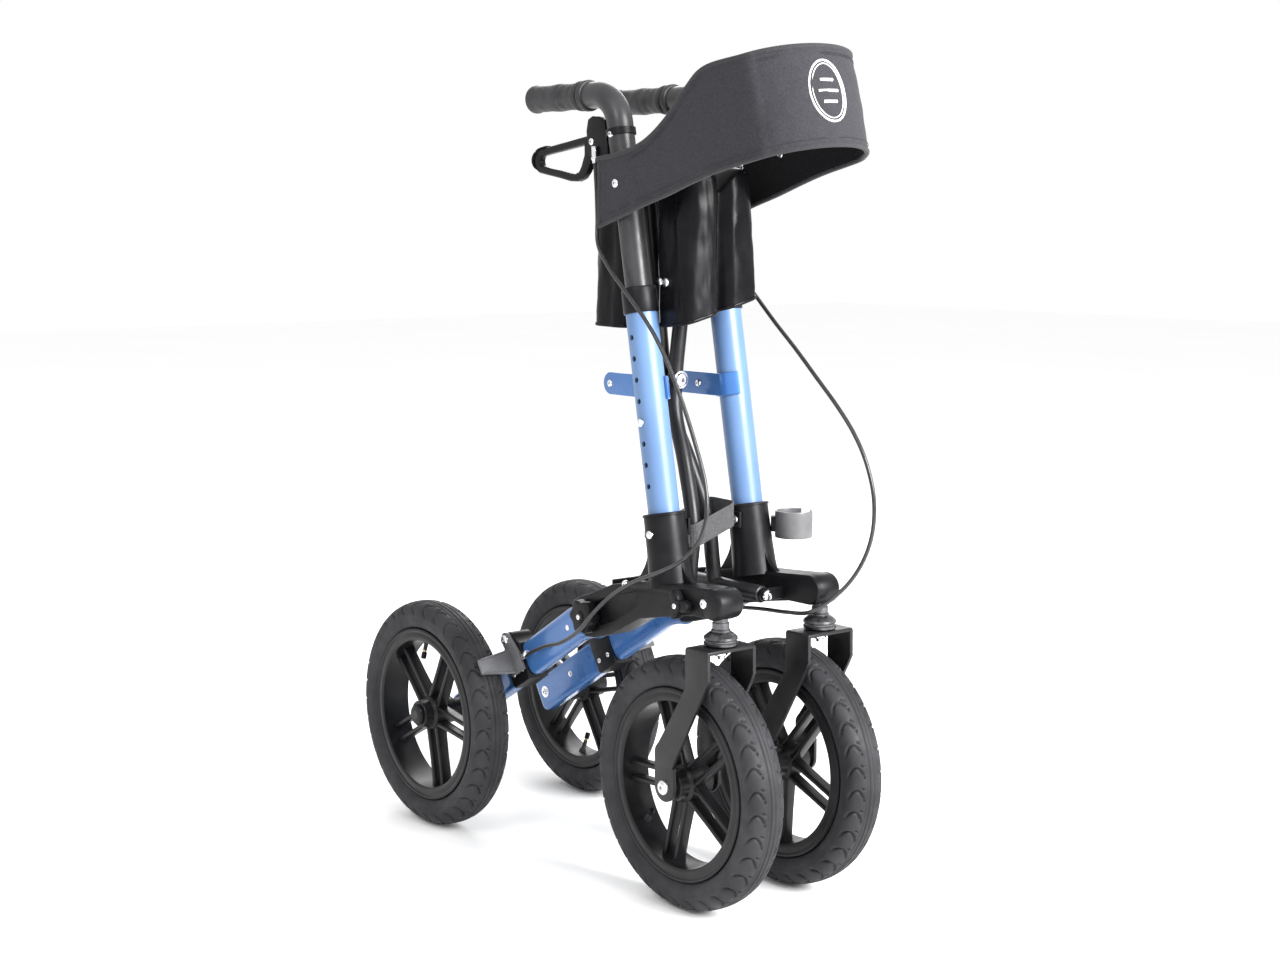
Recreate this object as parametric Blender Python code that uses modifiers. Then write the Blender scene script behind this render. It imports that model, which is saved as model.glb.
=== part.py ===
"""Folding four-wheel all-terrain rollator, folded, built from separate parts.

Metres. +X is forward, +Y is the user's left, +Z is up, and the wheels stand on z = 0.
Every distance "ahead" is measured forward from the rear axle.
"""

from math import atan2, cos, pi, radians, sin, tan

import bmesh
import bpy
from mathutils import Matrix, Vector

# Overall layout
WHEELBASE = 0.476
WHEEL_RADIUS = 0.1525
TYRE_STEPS = 32
BEAD_RADIUS = 0.1165
AXLE_Z = WHEEL_RADIUS * cos(pi / TYRE_STEPS)
STRAP_FRONT = 0.652
ORIGIN_AHEAD = (STRAP_FRONT - WHEEL_RADIUS * cos(pi / TYRE_STEPS)) / 2
REAR_WHEEL_Y = 0.127
SPOKE_TURNS = {"right_front": -33, "left_front": -22, "right_rear": -8, "left_rear": 14}
CASTER_Y = 0.078
POST_Y = 0.066
LEG_Y = 0.070
GAP = 0.0003

# Posts and handles
LEAN = radians(10.4)
POST_AHEAD = 0.424
POST_REF_Z = 0.420
POST_RADIUS = 0.0192
POST_BORE = 0.0164
POST_BOTTOM_Z = 0.397
POST_TOP_Z = 0.7275
HANDLE_RADIUS = 0.0160
HANDLE_BOTTOM_Z = 0.500
GRIP_Z = 0.961
HANDLE_BEND = 0.045
GRIP_FRONT = 0.262
GRIP_REAR = 0.158
HOLE_PITCH = 0.0254
PIN_Z = 0.573
HOLES_ABOVE_PIN = 4
HOLES_BELOW_PIN = 3
HOLE_RADIUS = 0.0034

# Casting at the foot of each post
CASTING_Y = 0.075
CASTING_THICK = 0.034
SOCKET_RADIUS = 0.0250
SOCKET_TOP_Z = 0.466
NOSE_Z = 0.375
NOSE_RADIUS = 0.018
NOSE_REACH = 0.0165
RIB_THICK = 0.007

# Casters
TRAIL = 0.058
STEM_AHEAD = WHEELBASE + TRAIL
STEM_RADIUS = 0.0085
CROWN_TOP_Z = 0.326
CROWN_THICK = 0.005
FORK_INNER = 0.032
FORK_THICK = 0.005

# Rear legs
LEG_SLOPE = radians(31.5)
LEG_HALF = 0.023
LEG_THICK = 0.026
REAR_TUBE_END = 0.135
BAND_END = 0.178

# Cross brace
LOWER_PIVOT_Y = 0.030
LOWER_PIVOT_Z = 0.366
CENTRE_PIVOT_Z = 0.618
CENTRE_BOLT_RADIUS = 0.0040
CENTRE_HOLE_RADIUS = 0.0043
RAIL_Z = 0.862
LOWER_AHEAD = 0.407
CENTRE_AHEAD = 0.345
BRACE_RADIUS = 0.0095
SLEEVE_RADIUS = 0.0105
SLEEVE_ENDS = (0.330, 0.484)
RAIL_ENDS = (0.262, 0.440)
RAIL_RADIUS = 0.0100
BRACE_OFFSET = 0.0104

# Brakes
SHOE_DISTANCE = 0.1565
SHOE_LEVER = 0.035
AXLE_RADIUS = 0.0060
BORE_RADIUS = 0.0063
LEVER_PIVOT = (0.290, 0.905)
LEVER_PIN_RADIUS = 0.0030
LEVER_HOLE_RADIUS = 0.0033
BRAKE_PIN_RADIUS = 0.0038
BRAKE_HOLE_RADIUS = 0.0041

# Backrest strap, seat and cables
STRAP_THICK = 0.007
STRAP_BEND = 0.080
STRAP_TILT = 0.035
SEAT_HALF_Y = 0.0445
SEAT_FRONT = ((0.386, 0.690), (0.440, 0.8512))
SEAT_REAR = ((0.258, 0.686), (0.318, 0.8512))
CABLE_RADIUS = 0.0025

BLUE = (0.055, 0.20, 0.52)
BLACK = (0.014, 0.014, 0.016)
GREY = (0.16, 0.16, 0.17)
SILVER = (0.72, 0.72, 0.74)

SIDES = (("right", -1), ("left", 1))
PARTS = None
CUTTERS = None


def clear_scene():
    for item in list(bpy.data.objects):
        bpy.data.objects.remove(item, do_unlink=True)


def new_collection(name):
    group = bpy.data.collections.new(name)
    bpy.context.scene.collection.children.link(group)
    return group


def place(ahead, y, z):
    """World position of a point given forward of the rear axle."""
    return Vector((ahead - ORIGIN_AHEAD, y, z))


def material(name, colour, roughness=0.5, metallic=0.0):
    found = bpy.data.materials.get(name)
    if found:
        return found
    made = bpy.data.materials.new(name)
    made.use_nodes = True
    shader = made.node_tree.nodes["Principled BSDF"]
    shader.inputs["Base Color"].default_value = (*colour, 1.0)
    shader.inputs["Roughness"].default_value = roughness
    shader.inputs["Metallic"].default_value = metallic
    return made


def finish(item, look):
    """Gives a part its own copy of a look, so that each part has its own material."""
    colour, roughness, metallic = look
    item.data.materials.clear()
    item.data.materials.append(material(item.name, colour, roughness, metallic))
    return item


PAINTED_BLUE = (BLUE, 0.30, 0.3)
BLACK_PAINT = (BLACK, 0.40, 0.2)
BLACK_PLASTIC = (BLACK, 0.55, 0.0)
TYRE_RUBBER = (BLACK, 0.85, 0.0)
STEEL = (SILVER, 0.25, 1.0)
CLOTH = (GREY, 0.9, 0.0)
VINYL = (BLACK, 0.35, 0.0)
GRIP_RUBBER = (BLACK, 0.8, 0.0)


def add(name, data, tool=False):
    item = bpy.data.objects.new(name, data)
    (CUTTERS if tool else PARTS).objects.link(item)
    if tool:
        item.hide_render = True
        item.display_type = "WIRE"
    return item


def as_mesh(item):
    """Replaces a curve, or a mesh with modifiers, by its finished mesh, caps welded."""
    bpy.context.view_layer.update()
    graph = bpy.context.evaluated_depsgraph_get()
    mesh = bpy.data.meshes.new_from_object(item.evaluated_get(graph))
    work = bmesh.new()
    work.from_mesh(mesh)
    bmesh.ops.remove_doubles(work, verts=work.verts, dist=1e-6)
    work.to_mesh(mesh)
    work.free()
    matrix = item.matrix_world.copy()
    name = item.name
    group = item.users_collection[0]
    tool = group == CUTTERS
    bpy.data.objects.remove(item, do_unlink=True)
    made = add(name, mesh, tool)
    made.matrix_world = matrix
    return made


def boolean(item, tool, operation):
    step = item.modifiers.new(operation.lower(), "BOOLEAN")
    step.operation = operation
    step.object = tool
    step.solver = "EXACT"


def cut(item, *tools):
    for tool in tools:
        boolean(item, tool, "DIFFERENCE")
    return item


def unite(item, *tools):
    for tool in tools:
        boolean(item, tool, "UNION")
    return item


def along(direction):
    """Rotation that takes +Z to a direction and keeps +Y where it can."""
    z = Vector(direction).normalized()
    side = Vector((0, 1, 0)) if abs(z.y) < 0.9 else Vector((0, 0, 1))
    x = side.cross(z).normalized()
    y = z.cross(x)
    return Matrix((x, y, z)).transposed()


def turned(name, profile, steps, centre, direction, tool=False, ring=False, phase=0.0):
    """Solid of revolution. The profile is (radius, height) from the top down its outer side."""
    mesh = bpy.data.meshes.new(name)
    work = bmesh.new()
    corners = [work.verts.new((r, 0, h)) for r, h in profile]
    pairs = list(zip(corners, corners[1:]))
    if ring:
        pairs.append((corners[-1], corners[0]))
    for first, second in pairs:
        work.edges.new((first, second))
    work.to_mesh(mesh)
    work.free()
    item = add(name, mesh, tool)
    screw = item.modifiers.new("turn", "SCREW")
    screw.axis = "Z"
    screw.steps = steps
    screw.render_steps = steps
    screw.use_merge_vertices = True
    screw.merge_threshold = 0.00001
    screw.use_smooth_shade = True
    turn = along(direction) @ Matrix.Rotation(phase, 3, "Z")
    item.matrix_world = Matrix.Translation(centre) @ turn.to_4x4()
    return item


def rod(name, start, end, radius, steps=20, tool=False):
    start, end = Vector(start), Vector(end)
    half = (end - start).length / 2
    profile = [(0, half), (radius, half), (radius, -half), (0, -half)]
    return turned(name, profile, steps, (start + end) / 2, end - start, tool)


def tube_between(name, points, radius, sides=3, tool=False, closed=False):
    """Round bar along a chain of points."""
    data = bpy.data.curves.new(name, "CURVE")
    data.dimensions = "3D"
    data.bevel_depth = radius
    data.bevel_resolution = sides
    data.use_fill_caps = not closed
    spline = data.splines.new("POLY")
    spline.points.add(len(points) - 1)
    for knot, point in zip(spline.points, points):
        knot.co = (*point, 1.0)
    spline.use_cyclic_u = closed
    return add(name, data, tool)


def plate(name, outline, thick, y, tool=False, soften=0.0, holes=()):
    """Flat piece with an outline in (ahead, z), centred on a sideways position y."""
    data = bpy.data.curves.new(name, "CURVE")
    data.dimensions = "2D"
    data.fill_mode = "BOTH"
    data.extrude = thick / 2 - soften
    data.bevel_depth = soften
    data.bevel_resolution = 1
    data.offset = -soften
    for loop in (outline, *holes):
        spline = data.splines.new("POLY")
        spline.points.add(len(loop) - 1)
        for knot, (ahead, z) in zip(spline.points, loop):
            knot.co = (ahead - ORIGIN_AHEAD, z, 0, 1)
        spline.use_cyclic_u = True
    item = add(name, data, tool)
    item.matrix_world = Matrix.Translation((0, y, 0)) @ Matrix.Rotation(pi / 2, 4, "X")
    return item


def box(name, low, high, tool=False, soften=0.0):
    mesh = bpy.data.meshes.new(name)
    work = bmesh.new()
    bmesh.ops.create_cube(work, size=1.0)
    size = Vector(high) - Vector(low)
    bmesh.ops.scale(work, vec=size, verts=work.verts)
    work.to_mesh(mesh)
    work.free()
    item = add(name, mesh, tool)
    item.location = (Vector(low) + Vector(high)) / 2
    if soften:
        bevel = item.modifiers.new("soften", "BEVEL")
        bevel.width = soften
        bevel.segments = 2
    return item


def hull(name, points, tool=False):
    """Convex body round a few points."""
    mesh = bpy.data.meshes.new(name)
    work = bmesh.new()
    for point in points:
        work.verts.new(point)
    bmesh.ops.convex_hull(work, input=work.verts)
    work.to_mesh(mesh)
    work.free()
    return add(name, mesh, tool)


def arc(centre, radius, start, end, steps):
    """Points on an arc in (ahead, z), angles in degrees from forward."""
    return [
        (
            centre[0] + radius * cos(radians(start + (end - start) * i / steps)),
            centre[1] + radius * sin(radians(start + (end - start) * i / steps)),
        )
        for i in range(steps + 1)
    ]


def smooth_chain(points, pieces):
    """Catmull-Rom points through a route."""
    route = [Vector(p) for p in points]
    route = [2 * route[0] - route[1], *route, 2 * route[-1] - route[-2]]
    chain = []
    for a, b, c, d in zip(route, route[1:], route[2:], route[3:]):
        for i in range(pieces):
            t = i / pieces
            chain.append(
                0.5
                * (
                    2 * b
                    + (c - a) * t
                    + (2 * a - 5 * b + 4 * c - d) * t * t
                    + (3 * b - a - 3 * c + d) * t * t * t
                )
            )
    chain.append(route[-2])
    return chain


def band_outline(chain, half):
    """Outline of a strip of constant width about a chain of (ahead, z) points."""
    upper, lower = [], []
    for i, point in enumerate(chain):
        before = Vector(chain[max(i - 1, 0)])
        after = Vector(chain[min(i + 1, len(chain) - 1)])
        ahead = (after - before).normalized()
        normal = Vector((-ahead.y, ahead.x))
        upper.append(tuple(Vector(point) + normal * half))
        lower.append(tuple(Vector(point) - normal * half))
    return upper + lower[::-1]


def post_ahead(z):
    return POST_AHEAD - (z - POST_REF_Z) * tan(LEAN)


def post_point(side, z):
    return place(post_ahead(z), side * POST_Y, z)


def post_axis():
    return Vector((-sin(LEAN), 0, cos(LEAN)))


def leg_point(distance, across=0.0):
    """(ahead, z) of a point along the rear leg from the axle, and square to it."""
    return (
        distance * cos(LEG_SLOPE) - across * sin(LEG_SLOPE),
        AXLE_Z + distance * sin(LEG_SLOPE) + across * cos(LEG_SLOPE),
    )


# Wheels -----------------------------------------------------------------------------------


def tyre_profile():
    upper = [(BEAD_RADIUS, 0.0175), (0.1200, 0.0220), (0.1340, 0.0250), (0.1460, 0.0195)]
    upper.append((WHEEL_RADIUS, 0.0070))
    return upper + [(r, -h) for r, h in reversed(upper)]


def make_tyre(name, ahead, y):
    centre = place(ahead, y, AXLE_Z)
    phase = pi / TYRE_STEPS
    item = turned(name, tyre_profile(), TYRE_STEPS, centre, (0, 1, 0), ring=True, phase=phase)
    return finish(item, TYRE_RUBBER)


def rim_mesh():
    """Rim ring, hub and five pairs of spokes as one body about the Z axis."""
    seat = BEAD_RADIUS * cos(pi / TYRE_STEPS) - GAP
    ring = [(0.1010, 0.0212), (seat, 0.0205), (seat, -0.0205), (0.1010, -0.0212)]
    ring += [(0.0995, -0.0190), (0.0995, 0.0190)]
    rim = turned("rim_ring", ring, TYRE_STEPS, (0, 0, 0), (0, 0, 1), ring=True)
    hub_profile = [(BORE_RADIUS, 0.026), (0.0190, 0.026), (0.0230, 0.010)]
    hub_profile += [(0.0230, -0.010), (0.0190, -0.026), (BORE_RADIUS, -0.026)]
    hub = turned("rim_hub", hub_profile, 16, (0, 0, 0), (0, 0, 1), True, True)
    unite(rim, hub)
    spoke_inner, spoke_outer, spoke_half_width, spoke_half_depth = 0.018, 0.104, 0.0036, 0.008
    for pair in range(5):
        for offset in (-0.0100, 0.0100):
            low = (spoke_inner, offset - spoke_half_width, -spoke_half_depth)
            high = (spoke_outer, offset + spoke_half_width, spoke_half_depth)
            spoke = box(f"spoke_{pair}_{offset:+.3f}", low, high, True)
            spoke.matrix_world = Matrix.Rotation(2 * pi * pair / 5, 4, "Z") @ Matrix.Translation(
                spoke.location
            )
            unite(rim, spoke)
    bore = rod("rim_bore", (0, 0, -0.04), (0, 0, 0.04), BORE_RADIUS, 16, True)
    cut(rim, bore)
    rim = as_mesh(rim)
    mesh = rim.data
    bpy.data.objects.remove(rim, do_unlink=True)
    mesh.shade_smooth()
    mesh.set_sharp_from_angle(angle=radians(35))
    return mesh


def make_rim(name, mesh, ahead, y, side):
    item = add(name, mesh.copy())
    turned_by = radians(SPOKE_TURNS[name.removesuffix("_rim")])
    turn = Matrix.Rotation(-side * pi / 2, 4, "X") @ Matrix.Rotation(-side * turned_by, 4, "Z")
    item.matrix_world = Matrix.Translation(place(ahead, y, AXLE_Z)) @ turn
    return finish(item, BLACK_PLASTIC)


def make_wheels(rim):
    for label, side in SIDES:
        make_tyre(f"{label}_rear_tyre", 0, side * REAR_WHEEL_Y)
        make_rim(f"{label}_rear_rim", rim, 0, side * REAR_WHEEL_Y, side)
        make_tyre(f"{label}_front_tyre", WHEELBASE, side * CASTER_Y)
        make_rim(f"{label}_front_rim", rim, WHEELBASE, side * CASTER_Y, side)


# Casters ----------------------------------------------------------------------------------


def fork_leg_outline():
    """Upright at the crown and at the axle, swept rearward between the two."""
    crown_half, end_radius = 0.020, 0.0175
    top = CROWN_TOP_Z - CROWN_THICK / 2
    rear = [(STEM_AHEAD - crown_half, top), (STEM_AHEAD - crown_half, 0.279)]
    rear.append((WHEELBASE - end_radius, 0.195))
    foot = arc((WHEELBASE, AXLE_Z), end_radius, 180, 360, 8)
    front = [(WHEELBASE + end_radius, 0.182), (STEM_AHEAD + crown_half, 0.293)]
    front.append((STEM_AHEAD + crown_half, top))
    return rear + foot + front


def make_fork(label, side):
    y = side * CASTER_Y
    half_x, half_y = 0.020, FORK_INNER + FORK_THICK
    low = place(STEM_AHEAD - half_x, y - half_y, CROWN_TOP_Z - CROWN_THICK)
    high = place(STEM_AHEAD + half_x, y + half_y, CROWN_TOP_Z)
    fork = box(f"{label}_fork", low, high)
    for which in (-1, 1):
        leg_y = y + which * (FORK_INNER + FORK_THICK / 2)
        leg = as_mesh(
            plate(f"{label}_fork_leg_{which}", fork_leg_outline(), FORK_THICK, leg_y, True)
        )
        unite(fork, leg)
    reach = Vector((0, half_y + 0.01, 0))
    centre = place(WHEELBASE, y, AXLE_Z)
    cut(fork, rod(f"{label}_fork_hole", centre - reach, centre + reach, BORE_RADIUS, 20, True))
    finish(fork, BLACK_PAINT)


def make_caster_stem(label, side):
    """Bearing cup, washers and stem, standing on the fork crown."""
    base = CROWN_TOP_Z + GAP
    steps = [(0.0, 0.385), (STEM_RADIUS, 0.385), (STEM_RADIUS, 0.353), (0.0115, 0.353)]
    steps += [(0.0115, 0.346), (0.0150, 0.344), (0.0185, 0.339), (0.0185, 0.330)]
    steps += [(0.0160, base), (0.0, base)]
    centre = place(STEM_AHEAD, side * CASTER_Y, 0)
    stem = turned(f"{label}_caster_stem", steps, 24, centre, (0, 0, 1))
    finish(stem, STEEL)


def make_front_axle(label, side):
    shaft = FORK_INNER + FORK_THICK + GAP
    head = 0.0100
    tip = shaft + 0.0045
    outline = [(0, tip), (head, tip), (head, shaft), (AXLE_RADIUS, shaft)]
    outline += [(AXLE_RADIUS, -shaft), (head, -shaft), (head, -tip), (0, -tip)]
    centre = place(WHEELBASE, side * CASTER_Y, AXLE_Z)
    finish(turned(f"{label}_front_axle", outline, 20, centre, (0, 1, 0)), STEEL)


# Base castings ----------------------------------------------------------------------------


def casting_outline():
    rear = [(0.273, 0.312), (0.262, 0.326), (0.266, 0.340)]
    top = [(0.300, 0.353), (0.345, 0.372), (0.400, 0.384), (0.480, 0.389)]
    nose = arc((STEM_AHEAD, NOSE_Z), NOSE_RADIUS, 90, -90, 8)
    bottom = [(0.470, 0.352), (0.400, 0.338), (0.345, 0.310), (0.310, 0.300), (0.290, 0.299)]
    return rear + top + nose + bottom


def rib_outline(front):
    if front:
        return [(0.430, 0.442), (0.440, 0.442), (0.452, 0.414), (0.470, 0.386), (0.430, 0.386)]
    return [(0.405, 0.442), (0.396, 0.442), (0.386, 0.410), (0.372, 0.374), (0.405, 0.374)]


def make_casting(label, side):
    y = side * CASTING_Y
    body = as_mesh(plate(f"{label}_base_casting", casting_outline(), CASTING_THICK, y))
    nose_centre = place(STEM_AHEAD, side * CASTER_Y, NOSE_Z)
    reach = Vector((0, NOSE_REACH, 0))
    barrel = NOSE_RADIUS + 0.0005
    nose = rod(f"{label}_nose", nose_centre - reach, nose_centre + reach, barrel, 24, True)
    foot_profile = [(0, 0), (SOCKET_RADIUS - 0.001, 0), (SOCKET_RADIUS, -0.004)]
    foot_profile += [(SOCKET_RADIUS + 0.0012, -0.086), (0, -0.086)]
    socket = turned(
        f"{label}_socket", foot_profile, 24, post_point(side, SOCKET_TOP_Z), post_axis(), True
    )
    unite(body, nose, socket)
    for front in (False, True):
        rib = as_mesh(
            plate(f"{label}_rib_{front}", rib_outline(front), RIB_THICK, side * POST_Y, True)
        )
        unite(body, rib)
    for which, ahead in enumerate((SLEEVE_ENDS[0] - 0.0065, SLEEVE_ENDS[1] + 0.0015)):
        lug = lug_for_pivot(f"{label}_lug_{which}", ahead, side)
        unite(body, lug)
    bore = rod(
        f"{label}_post_bore",
        post_point(side, POST_BOTTOM_Z - 0.001),
        post_point(side, SOCKET_TOP_Z + 0.02),
        POST_RADIUS + GAP,
        24,
        True,
    )
    stem_low = place(STEM_AHEAD, side * CASTER_Y, 0.34)
    stem_high = place(STEM_AHEAD, side * CASTER_Y, 0.3855)
    stem_bore = rod(f"{label}_stem_bore", stem_low, stem_high, STEM_RADIUS + GAP, 20, True)
    inner, outer = 0.030, LEG_Y + LEG_THICK / 2 + 0.0006
    slot = as_mesh(
        plate(
            f"{label}_leg_slot",
            band_outline(front_leg_chain(-0.02, 0.0012), LEG_HALF + 0.0006),
            outer - inner,
            side * (outer + inner) / 2,
            True,
        )
    )
    cut(body, bore, stem_bore, slot)
    finish(as_mesh(body), BLACK_PLASTIC)


def lug_for_pivot(name, ahead, side):
    """Ear that carries one end of the cross brace's lower pivot."""
    low = place(ahead, 0, LOWER_PIVOT_Z - 0.008)
    high = place(ahead + 0.005, 0, LOWER_PIVOT_Z + 0.008)
    low.y, high.y = sorted((side * (LOWER_PIVOT_Y - 0.010), side * (CASTING_Y + 0.002)))
    return box(name, low, high, True)


def star_outline(centre, radius, lobes, depth, steps=24):
    points = []
    for i in range(steps):
        angle = 2 * pi * i / steps
        r = radius - depth * (1 - cos(lobes * angle)) / 2
        points.append((centre[0] + r * cos(angle), centre[1] + r * sin(angle)))
    return points


def make_knobs(label, side):
    outer_face = CASTING_Y + CASTING_THICK / 2
    leg_knob = plate(
        f"{label}_leg_knob",
        star_outline((0.303, 0.327), 0.022, 6, 0.004),
        0.016,
        side * (outer_face + GAP + 0.008),
        soften=0.002,
    )
    finish(as_mesh(leg_knob), BLACK_PLASTIC)
    wing_knob = plate(
        f"{label}_wing_knob",
        star_outline((0.484, 0.368), 0.019, 3, 0.011),
        0.012,
        side * (outer_face + GAP + 0.006),
        soften=0.002,
    )
    finish(as_mesh(wing_knob), BLACK_PLASTIC)


# Rear legs --------------------------------------------------------------------------------


def front_leg_chain(extra_rear=0.0, extra_front=0.0):
    """Centre line of the arched front leg, (ahead, z), as a straight run and an arc."""
    start = leg_point(BAND_END + GAP + extra_rear)
    straight_end = leg_point(0.285)
    radius, turn, steps = 0.115, radians(27), 6
    centre = (
        straight_end[0] + radius * sin(LEG_SLOPE),
        straight_end[1] - radius * cos(LEG_SLOPE),
    )
    chain = [start]
    for i in range(steps + 1):
        heading = LEG_SLOPE - turn * i / steps
        chain.append((centre[0] - radius * sin(heading), centre[1] + radius * cos(heading)))
    last, before = Vector(chain[-1]), Vector(chain[-2])
    if extra_front:
        chain.append(tuple(last + (last - before).normalized() * extra_front))
    return chain


def make_legs(label, side):
    y = side * LEG_Y
    front = plate(
        f"{label}_leg_front",
        band_outline(front_leg_chain(), LEG_HALF),
        LEG_THICK,
        y,
        soften=0.007,
    )
    finish(as_mesh(front), PAINTED_BLUE)
    slope = LEG_SLOPE * 180 / pi
    rear_outline = arc(leg_point(0.0), LEG_HALF, 90 + slope, 270 + slope, 12)
    rear_outline += [leg_point(REAR_TUBE_END, -LEG_HALF), leg_point(REAR_TUBE_END, LEG_HALF)]
    rear = plate(f"{label}_leg_rear", rear_outline, LEG_THICK, y, soften=0.007)
    finish(as_mesh(rear), PAINTED_BLUE)
    half, lug = LEG_HALF + 0.003, 0.010
    middle = SHOE_DISTANCE + 0.003
    pivot = leg_point(middle, SHOE_LEVER)
    band_outline_points = [
        leg_point(REAR_TUBE_END + GAP, half - 0.002),
        leg_point(REAR_TUBE_END + GAP, -half + 0.002),
        leg_point(REAR_TUBE_END + 0.003, -half),
        leg_point(BAND_END - 0.003, -half),
        leg_point(BAND_END, -half + 0.002),
        leg_point(BAND_END, half - 0.002),
        leg_point(BAND_END - 0.003, half),
    ]
    band_outline_points += arc(pivot, lug, slope, 180 + slope, 8)
    band_outline_points.append(leg_point(REAR_TUBE_END + 0.003, half))
    band = plate(f"{label}_leg_band", band_outline_points, LEG_THICK + 0.006, y)
    finish(as_mesh(band), BLACK_PLASTIC)


def make_rear_axle(label, side):
    face = LEG_THICK / 2 + GAP
    hub_face = REAR_WHEEL_Y - LEG_Y - 0.026
    tip = REAR_WHEEL_Y - LEG_Y + 0.026 + GAP
    outline = [(0, tip + 0.005), (0.011, tip + 0.005), (0.014, tip + 0.002), (0.014, tip)]
    outline += [(AXLE_RADIUS, tip), (AXLE_RADIUS, hub_face - GAP), (0.012, hub_face - GAP)]
    outline += [(0.014, face + 0.004), (0.014, face), (0, face)]
    centre = place(0, side * LEG_Y, AXLE_Z)
    axle = turned(f"{label}_rear_axle", outline, 20, centre, (0, side, 0))
    finish(axle, BLACK_PAINT)


def make_brake(label, side):
    """Plate that swings down on a pin above the leg and presses across the tyre."""
    band_face = LEG_Y + LEG_THICK / 2 + 0.003
    cheek_low = band_face + 0.0013
    cheek_thick = 0.005
    middle = SHOE_DISTANCE + 0.003
    pivot = leg_point(middle, SHOE_LEVER)
    slope = LEG_SLOPE * 180 / pi
    outline = arc(pivot, 0.010, slope, 180 + slope, 8)
    heel = SHOE_DISTANCE - 0.001
    outline += [leg_point(heel, 0.010), leg_point(heel, -0.013)]
    outline += [leg_point(SHOE_DISTANCE + 0.022, -0.013), leg_point(SHOE_DISTANCE + 0.022, 0.010)]
    arm = as_mesh(
        plate(
            f"{label}_brake_arm", outline, cheek_thick, side * (cheek_low + cheek_thick / 2)
        )
    )
    near_y, far_y = cheek_low + 0.001, REAR_WHEEL_Y + 0.016
    corners = [(near_y, -0.012, 0.022), (far_y, -0.006, 0.014)]
    shoe = hull(
        f"{label}_shoe",
        [
            place(point[0], side * y, point[1])
            for y, low, high in corners
            for point in (
                leg_point(SHOE_DISTANCE, low),
                leg_point(SHOE_DISTANCE, high),
                leg_point(SHOE_DISTANCE + 0.005, low),
                leg_point(SHOE_DISTANCE + 0.005, high),
            )
        ],
        True,
    )
    unite(arm, shoe)
    centre = place(pivot[0], 0, pivot[1])
    near = centre + Vector((0, side * (band_face - 0.01), 0))
    far = centre + Vector((0, side * (cheek_low + 0.02), 0))
    cut(arm, rod(f"{label}_brake_hole", near, far, BRAKE_HOLE_RADIUS, 16, True))
    finish(arm, BLACK_PAINT)
    head = cheek_low + cheek_thick + GAP
    profile = [(0, head + 0.004), (0.007, head + 0.004), (0.007, head), (BRAKE_PIN_RADIUS, head)]
    profile += [(BRAKE_PIN_RADIUS, band_face + GAP), (0, band_face + GAP)]
    pin = turned(f"{label}_brake_pin", profile, 16, centre, (0, side, 0))
    finish(pin, STEEL)


# Posts and handles ------------------------------------------------------------------------


def make_post(label, side):
    length = (POST_TOP_Z - POST_BOTTOM_Z) / cos(LEAN)
    ring = [(POST_BORE, length), (POST_RADIUS, length), (POST_RADIUS, 0), (POST_BORE, 0)]
    post = turned(
        f"{label}_post", ring, 24, post_point(side, POST_BOTTOM_Z), post_axis(), ring=True
    )
    for i in range(-HOLES_BELOW_PIN, HOLES_ABOVE_PIN + 1):
        at = post_point(side, PIN_Z + i * HOLE_PITCH * cos(LEAN))
        inner = at + Vector((0, side * 0.008, 0))
        outer = at + Vector((0, side * 0.026, 0))
        hole = rod(f"{label}_hole_{i}", inner, outer, HOLE_RADIUS, 8, True)
        cut(post, hole)
    finish(post, PAINTED_BLUE)
    low, high, lip = 0.701, 0.7315, 0.0025
    span = (high - low) / cos(LEAN)
    inner_wall = POST_RADIUS + GAP
    collar_ring = [(HANDLE_RADIUS + GAP, span), (0.0205, span), (0.0215, span - 0.001)]
    collar_ring += [(0.0215, 0), (inner_wall, 0), (inner_wall, span - lip)]
    collar_ring += [(HANDLE_RADIUS + GAP, span - lip)]
    collar = turned(
        f"{label}_post_collar", collar_ring, 24, post_point(side, low), post_axis(), ring=True
    )
    finish(collar, BLACK_PLASTIC)


def make_post_bracket(label, side):
    """Saddle on the inner half of the post, with a tab that points rearward."""
    z, half_height, thick = 0.611, 0.014, 0.004
    wall = POST_RADIUS + GAP
    centre_ahead = post_ahead(z)
    inner_y = POST_Y - wall - thick / 2
    rear = 0.272
    outline = arc((rear + half_height, z), half_height, 90, 270, 10)
    outline += [(centre_ahead + 0.004, z - half_height), (centre_ahead, z + half_height)]
    tab = as_mesh(plate(f"{label}_post_bracket", outline, thick, side * inner_y))
    ring = [(wall, half_height), (wall + thick, half_height)]
    ring += [(wall + thick, -half_height), (wall, -half_height)]
    clamp = turned(
        f"{label}_clamp_ring", ring, 24, post_point(side, z), post_axis(), True, True
    )
    unite(tab, clamp)
    edges = sorted((side * (POST_Y + 0.004), side * (POST_Y + 0.040)))
    low = place(centre_ahead - 0.040, edges[0], z - 0.030)
    high = place(centre_ahead + 0.040, edges[1], z + 0.030)
    cut(tab, box(f"{label}_clamp_opening", low, high, True))
    finish(tab, PAINTED_BLUE)


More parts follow.
